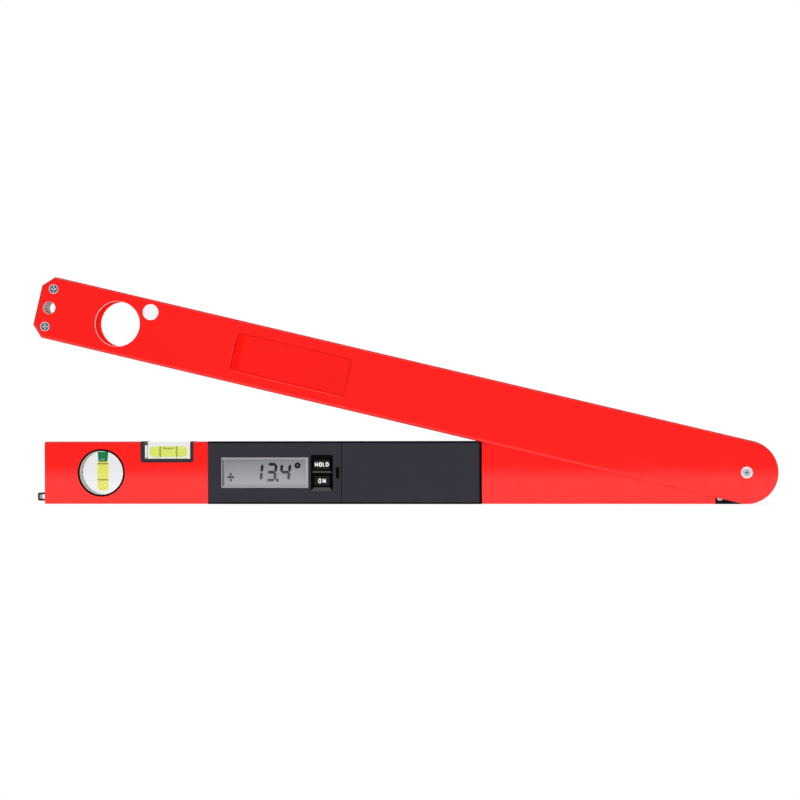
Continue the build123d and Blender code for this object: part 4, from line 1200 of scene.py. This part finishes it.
@dataclass
class PlumbVial(Vial):
    """Round vial block near the free end of the base leg."""

    line_offset: float = 4.95 * MM
    line_width: float = 0.42 * MM
    rim: float = 0.25 * MM
    line_rise: float = 0.45 * MM  # how far the lines' middle lies above the block's
    block_overlap: float = 0.12 * MM  # how far the block reaches into its sleeve
    top_overlap: float = 0.36 * MM  # how far the liquid reaches up into the stopper
    face_inset: float = 0.3 * MM  # distance of the flat face's edge from the block's rim
    # half width, half depth and half height of a pale spot on the stopper's foot, a painted highlight
    mark: Triple = (1.6 * MM, 0.6 * MM, 0.75 * MM)
    mark_rise: float = 1.5 * MM  # height of the spots above that foot
    mark_depth: float = 2.6 * MM  # distance of the spots from the vial's middle, to front and rear

    def block(self, box: Extent) -> None:
        """Makes the clear block: a disc turned round the axis across the leg, with rounded rims.

        Args:
            box: the block's box.
        """
        half, radius = box.size[1] / 2, box.size[0] / 2 + self.block_overlap
        face = ((0.0, -half), (radius - self.face_inset, -half))
        front = np.concatenate((face, rounded_end(radius, -half, self.rim, RIM_STEPS)))
        disc = turned(np.concatenate((front, front[::-1] * (1, -1))), box.centre, REARWARD)
        make_piece("plumb_block", [disc], ACRYLIC, instead_of="plumb_vial_block")

    def liquid(self, tube: Extent, radius: float) -> None:
        """Makes the liquid: a cylinder with a rounded lower end, turned round the upright axis.

        Args:
            tube: the vial's box.
            radius: the liquid's radius.
        """
        half = tube.size[2] / 2
        bowl, top = rounded_end(radius, -half, self.round_end, BOWL_STEPS), half + self.top_overlap
        filling = turned(np.concatenate((((0.0, -half),), bowl, ((radius, top), (0.0, top)))), tube.centre, UP)
        make_piece("plumb_liquid", [filling], PLUMB_LIQUID, instead_of="plumb_vial")

    def marks(self) -> None:
        """Makes the painted highlights on the stopper's foot: a pale ellipsoid at the front and one at the rear."""
        box = Extent.of("plumb_vial_stopper")
        centre = box.centre
        centre[2] = box.low[2] + self.mark_rise
        spots = [ellipsoid(centre + side * self.mark_depth * REARWARD, self.mark) for side in Side]
        make_piece("stopper_marks", spots, STOPPER_HIGHLIGHT)

    def build(self) -> None:
        """Builds the vial and dresses its solids."""
        block, tube = Extent.of("plumb_vial_block"), Extent.of("plumb_vial")
        radius = tube.size[0] / 2 + self.overlap
        self.block(block)
        self.liquid(tube, radius)
        self.lines("plumb_lines", radius, block.centre + self.line_rise * UP, UP)
        self.marks()
        dress(STOPPER_GREEN, "plumb_vial_stopper")
        dress(SLEEVE_GREY, "plumb_vial_sleeve")
        dress(KEY_BLACK, "plumb_vial_rings")


@dataclass
class LevelVial(Vial):
    """Vial in the top of the base leg."""

    line_offset: float = 5.1 * MM
    line_width: float = 0.3 * MM
    rim: float = 0.2 * MM
    bubble: Triple = (3.9 * MM, 2.0 * MM, 0.85 * MM)  # half length, half depth and half height of the bubble
    bubble_gap: float = 0.1 * MM  # distance of the bubble from the top of the vial
    trim: float = 0.4 * MM  # how much narrower the block is at front and rear than its solid's box
    top_trim: float = 0.2 * MM  # how much lower its top is
    hook: float = 0.5 * MM  # how much shorter it is at the left, where its solid has a hook

    def liquid(self, tube: Extent, radius: float) -> None:
        """Makes the liquid: a cylinder with rounded ends, turned round the axis along the leg.

        Args:
            tube: the vial's box.
            radius: the liquid's radius.
        """
        half = tube.size[0] / 2
        end = np.concatenate((((0.0, -half),), rounded_end(radius, -half, self.round_end, BOWL_STEPS)))
        filling = turned(np.concatenate((end, end[::-1] * (1, -1))), tube.centre, ALONG)
        make_piece("level_liquid", [filling], LEVEL_LIQUID, instead_of="level_vial")

    def air(self, tube: Extent) -> None:
        """Makes the bubble: an ellipsoid against the top of the vial.

        Args:
            tube: the vial's box.
        """
        centre = tube.centre
        centre[2] = tube.high[2] - self.bubble[2] - self.bubble_gap
        make_piece("level_bubble", [ellipsoid(centre, self.bubble)], BUBBLE)

    def block(self) -> None:
        """Makes the clear block: upright rounded rectangles from front to rear, inset by the rim at both ends."""
        solid, rim = Extent.of("level_vial_block"), self.rim
        low = solid.low + self.hook * ALONG + self.trim * REARWARD
        high = solid.high - self.trim * REARWARD - self.top_trim * UP
        box, front, back = Extent(low, high), low[1], high[1]
        rows = ((rim, rim, front), (0.0, 0.0, front + rim), (0.0, 0.0, back - rim), (rim, rim, back))
        block = stacked(box.centre, box.size, rim, rows)
        make_piece("level_block", [block], ACRYLIC, instead_of="level_vial_block")

    def build(self) -> None:
        """Builds the vial and dresses its solids."""
        tube = Extent.of("level_vial")
        radius = tube.size[2] / 2 + self.overlap
        self.liquid(tube, radius)
        self.lines("level_lines", radius, tube.centre, ALONG)
        self.air(tube)
        self.block()
        dress(DARK_PLASTIC, "level_vial_frame")


@dataclass(frozen=True)
class Softbox:
    """A soft lamp."""

    name: str
    place: Triple  # where it stands
    size: Pair  # its width and height
    power: float  # its power in watts
    # whether glossy surfaces show it; if not, it is sampled as a lamp only, never met by a ray
    mirrored: bool = False

    def build(self, target: Vector) -> None:
        """Sets up the lamp, facing the target.

        Args:
            target: the point that it faces.
        """
        lamp = bpy.data.lights.new(self.name, "AREA")
        lamp.shape = "RECTANGLE"
        lamp.size, lamp.size_y = self.size
        lamp.energy = self.power
        stand = bpy.data.objects.new(self.name, lamp)
        stand.location = self.place
        stand.visible_glossy = lamp.cycles.use_multiple_importance_sampling = self.mirrored
        stand.visible_transmission = False
        stand.rotation_euler = (Vector(self.place) - target).to_track_quat("Z", "Y").to_euler()
        bpy.context.scene.collection.objects.link(stand)


@dataclass
class Studio:
    """Floor, soft light, white background and the photograph's camera."""

    lamps: tuple[Softbox, ...] = (
        Softbox("front", place=(0.20, -2.2, 0.085), size=(0.25, 0.16), power=36),
        Softbox("top", place=(0.0, -0.23, 1.6), size=(2.0, 0.45), power=5, mirrored=True),
        Softbox("left", place=(-2.0, -1.6, 0.6), size=(1.0, 1.0), power=3),
        Softbox("right", place=(2.1, -1.5, 0.6), size=(1.0, 1.0), power=8),
        Softbox("rear", place=(0.0, 2.2, 0.14), size=(1.2, 0.3), power=26),
    )
    floor_front: float = 0.69  # how far the floor reaches in front of the part
    floor_rear: float = 0.45  # how far it reaches behind it
    floor_side: float = 1.2  # how far it reaches to either side
    floor_level: float = -0.2 * MM  # its height
    floor_grey: float = 0.93  # how much light it throws back
    floor_lift: float = 0.72  # brightness added to the floor where it is seen, so that it reads as white
    ambient: float = 0.14  # brightness of the surroundings for diffuse light
    room: float = 0.2  # brightness of the room behind the camera, as glossy surfaces see it
    rear_glow: Pair = (3.0, -0.75)  # slope and start of the room's brightness towards the rear, by the direction's y
    right_glow: Pair = (2.5, -1.5)  # the same towards the right, by the direction's x
    high_fade: Pair = (1.2, 4.0)  # where the brightness starts to fade upwards and how fast, by the direction's z
    azimuth: float = 5.076  # camera's angle to the right of straight ahead, in degrees
    elevation: float = 0.312  # camera's angle above the horizon, in degrees
    roll: float = 0.175  # camera's turn about its own axis, in degrees
    distance: float = 2.0012  # camera's distance from its target
    lens: float = 146.77  # focal length in millimetres
    sensor: float = 36  # width of the camera's sensor in millimetres
    far: float = 20  # how far the camera sees
    target: Triple = (0.01353, 0.0, 0.06354)  # the point that the camera looks at

    def floor(self) -> None:
        """Lays a pale sheet just under the measuring face."""
        mesh = bpy.data.meshes.new("floor")
        x, near, far, z = self.floor_side, -self.floor_front, self.floor_rear, self.floor_level
        mesh.from_pydata([(-x, near, z), (x, near, z), (x, far, z), (-x, far, z)], [], [(0, 1, 2, 3)])
        graph = Graph(bpy.data.materials.new("floor_sheet"))
        sheet = graph.add("ShaderNodeBsdfDiffuse", inputs={"Color": (*(self.floor_grey,) * 3, 1)})
        strength = graph.math("MULTIPLY", graph.rays("Camera", "Glossy", "Transmission"), self.floor_lift)
        glow = graph.add("ShaderNodeEmission", inputs={"Color": (1, 1, 1, 1), "Strength": strength})
        both = graph.add("ShaderNodeAddShader", inputs={0: sheet.outputs[0], 1: glow.outputs[0]})
        graph.add("ShaderNodeOutputMaterial", inputs={"Surface": both.outputs[0]})
        mesh.materials.append(graph.owner)
        floor = bpy.data.objects.new("floor", mesh)
        bpy.context.scene.collection.objects.link(floor)

    def surroundings(self) -> None:
        """Sets a white background that also shows in clear and glossy surfaces, and a darker room in front."""
        world = bpy.data.worlds.new("surroundings")
        bpy.context.scene.world = world
        graph = Graph(world)
        direction = graph.add("ShaderNodeTexCoord").outputs["Generated"]
        x, y, z = graph.add("ShaderNodeSeparateXYZ", inputs={0: direction}).outputs
        behind = graph.math("MULTIPLY_ADD", y, *self.rear_glow)
        beside = graph.math("MULTIPLY_ADD", x, *self.right_glow)
        start, slope = self.high_fade
        low = graph.math("SUBTRACT", start, graph.math("MULTIPLY", z, slope))
        bright = graph.math("MULTIPLY", graph.math("ADD", behind, beside), low)
        room = graph.math("MULTIPLY_ADD", bright, 1 - self.room, self.room)
        clear = graph.rays("Camera", "Transmission")
        glossy = graph.math("SUBTRACT", graph.rays("Glossy"), clear)
        plain = graph.math("SUBTRACT", 1.0, graph.math("ADD", clear, glossy))
        strength = graph.math("MULTIPLY_ADD", plain, self.ambient, graph.math("MULTIPLY", glossy, room))
        inputs = {"Color": (1, 1, 1, 1), "Strength": graph.math("ADD", strength, clear)}
        light = graph.add("ShaderNodeBackground", inputs=inputs)
        graph.add("ShaderNodeOutputWorld", inputs={"Surface": light.outputs[0]})

    def camera(self) -> None:
        """Sets up the camera on the viewing line through the target, turned about it by the roll."""
        across, rise, roll = np.radians((self.azimuth, self.elevation, self.roll))
        back = np.array((np.sin(across) * np.cos(rise), -np.cos(across) * np.cos(rise), np.sin(rise)))
        right = np.array((np.cos(across), np.sin(across), 0.0))
        up = np.cross(back, right)
        axes = (np.cos(roll) * right - np.sin(roll) * up, np.sin(roll) * right + np.cos(roll) * up, back)
        data = bpy.data.cameras.new("camera")
        data.sensor_width = self.sensor
        data.lens = self.lens
        data.clip_end = self.far
        camera = bpy.data.objects.new("camera", data)
        turn = Matrix(np.array(axes).T.tolist()).to_4x4()
        camera.matrix_world = Matrix.Translation(np.array(self.target) + self.distance * back) @ turn
        bpy.context.scene.collection.objects.link(camera)
        bpy.context.scene.camera = camera

    def build(self) -> None:
        """Sets up the floor, the lamps, the surroundings and the camera."""
        self.floor()
        self.surroundings()
        for lamp in self.lamps:
            lamp.build(Vector(self.target))
        self.camera()
        bpy.context.scene.view_settings.view_transform = "Standard"


def main() -> None:
    """Builds the sub-assemblies in order, then the studio."""
    logging.basicConfig(level=logging.INFO, format="%(message)s")
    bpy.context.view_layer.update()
    for assembly in (Base(), Arm(), Display(), Keys(), PlumbVial(), LevelVial(), Studio()):
        log.info("building %s", type(assembly).__name__)
        assembly.build()


if __name__ == "__main__":
    main()
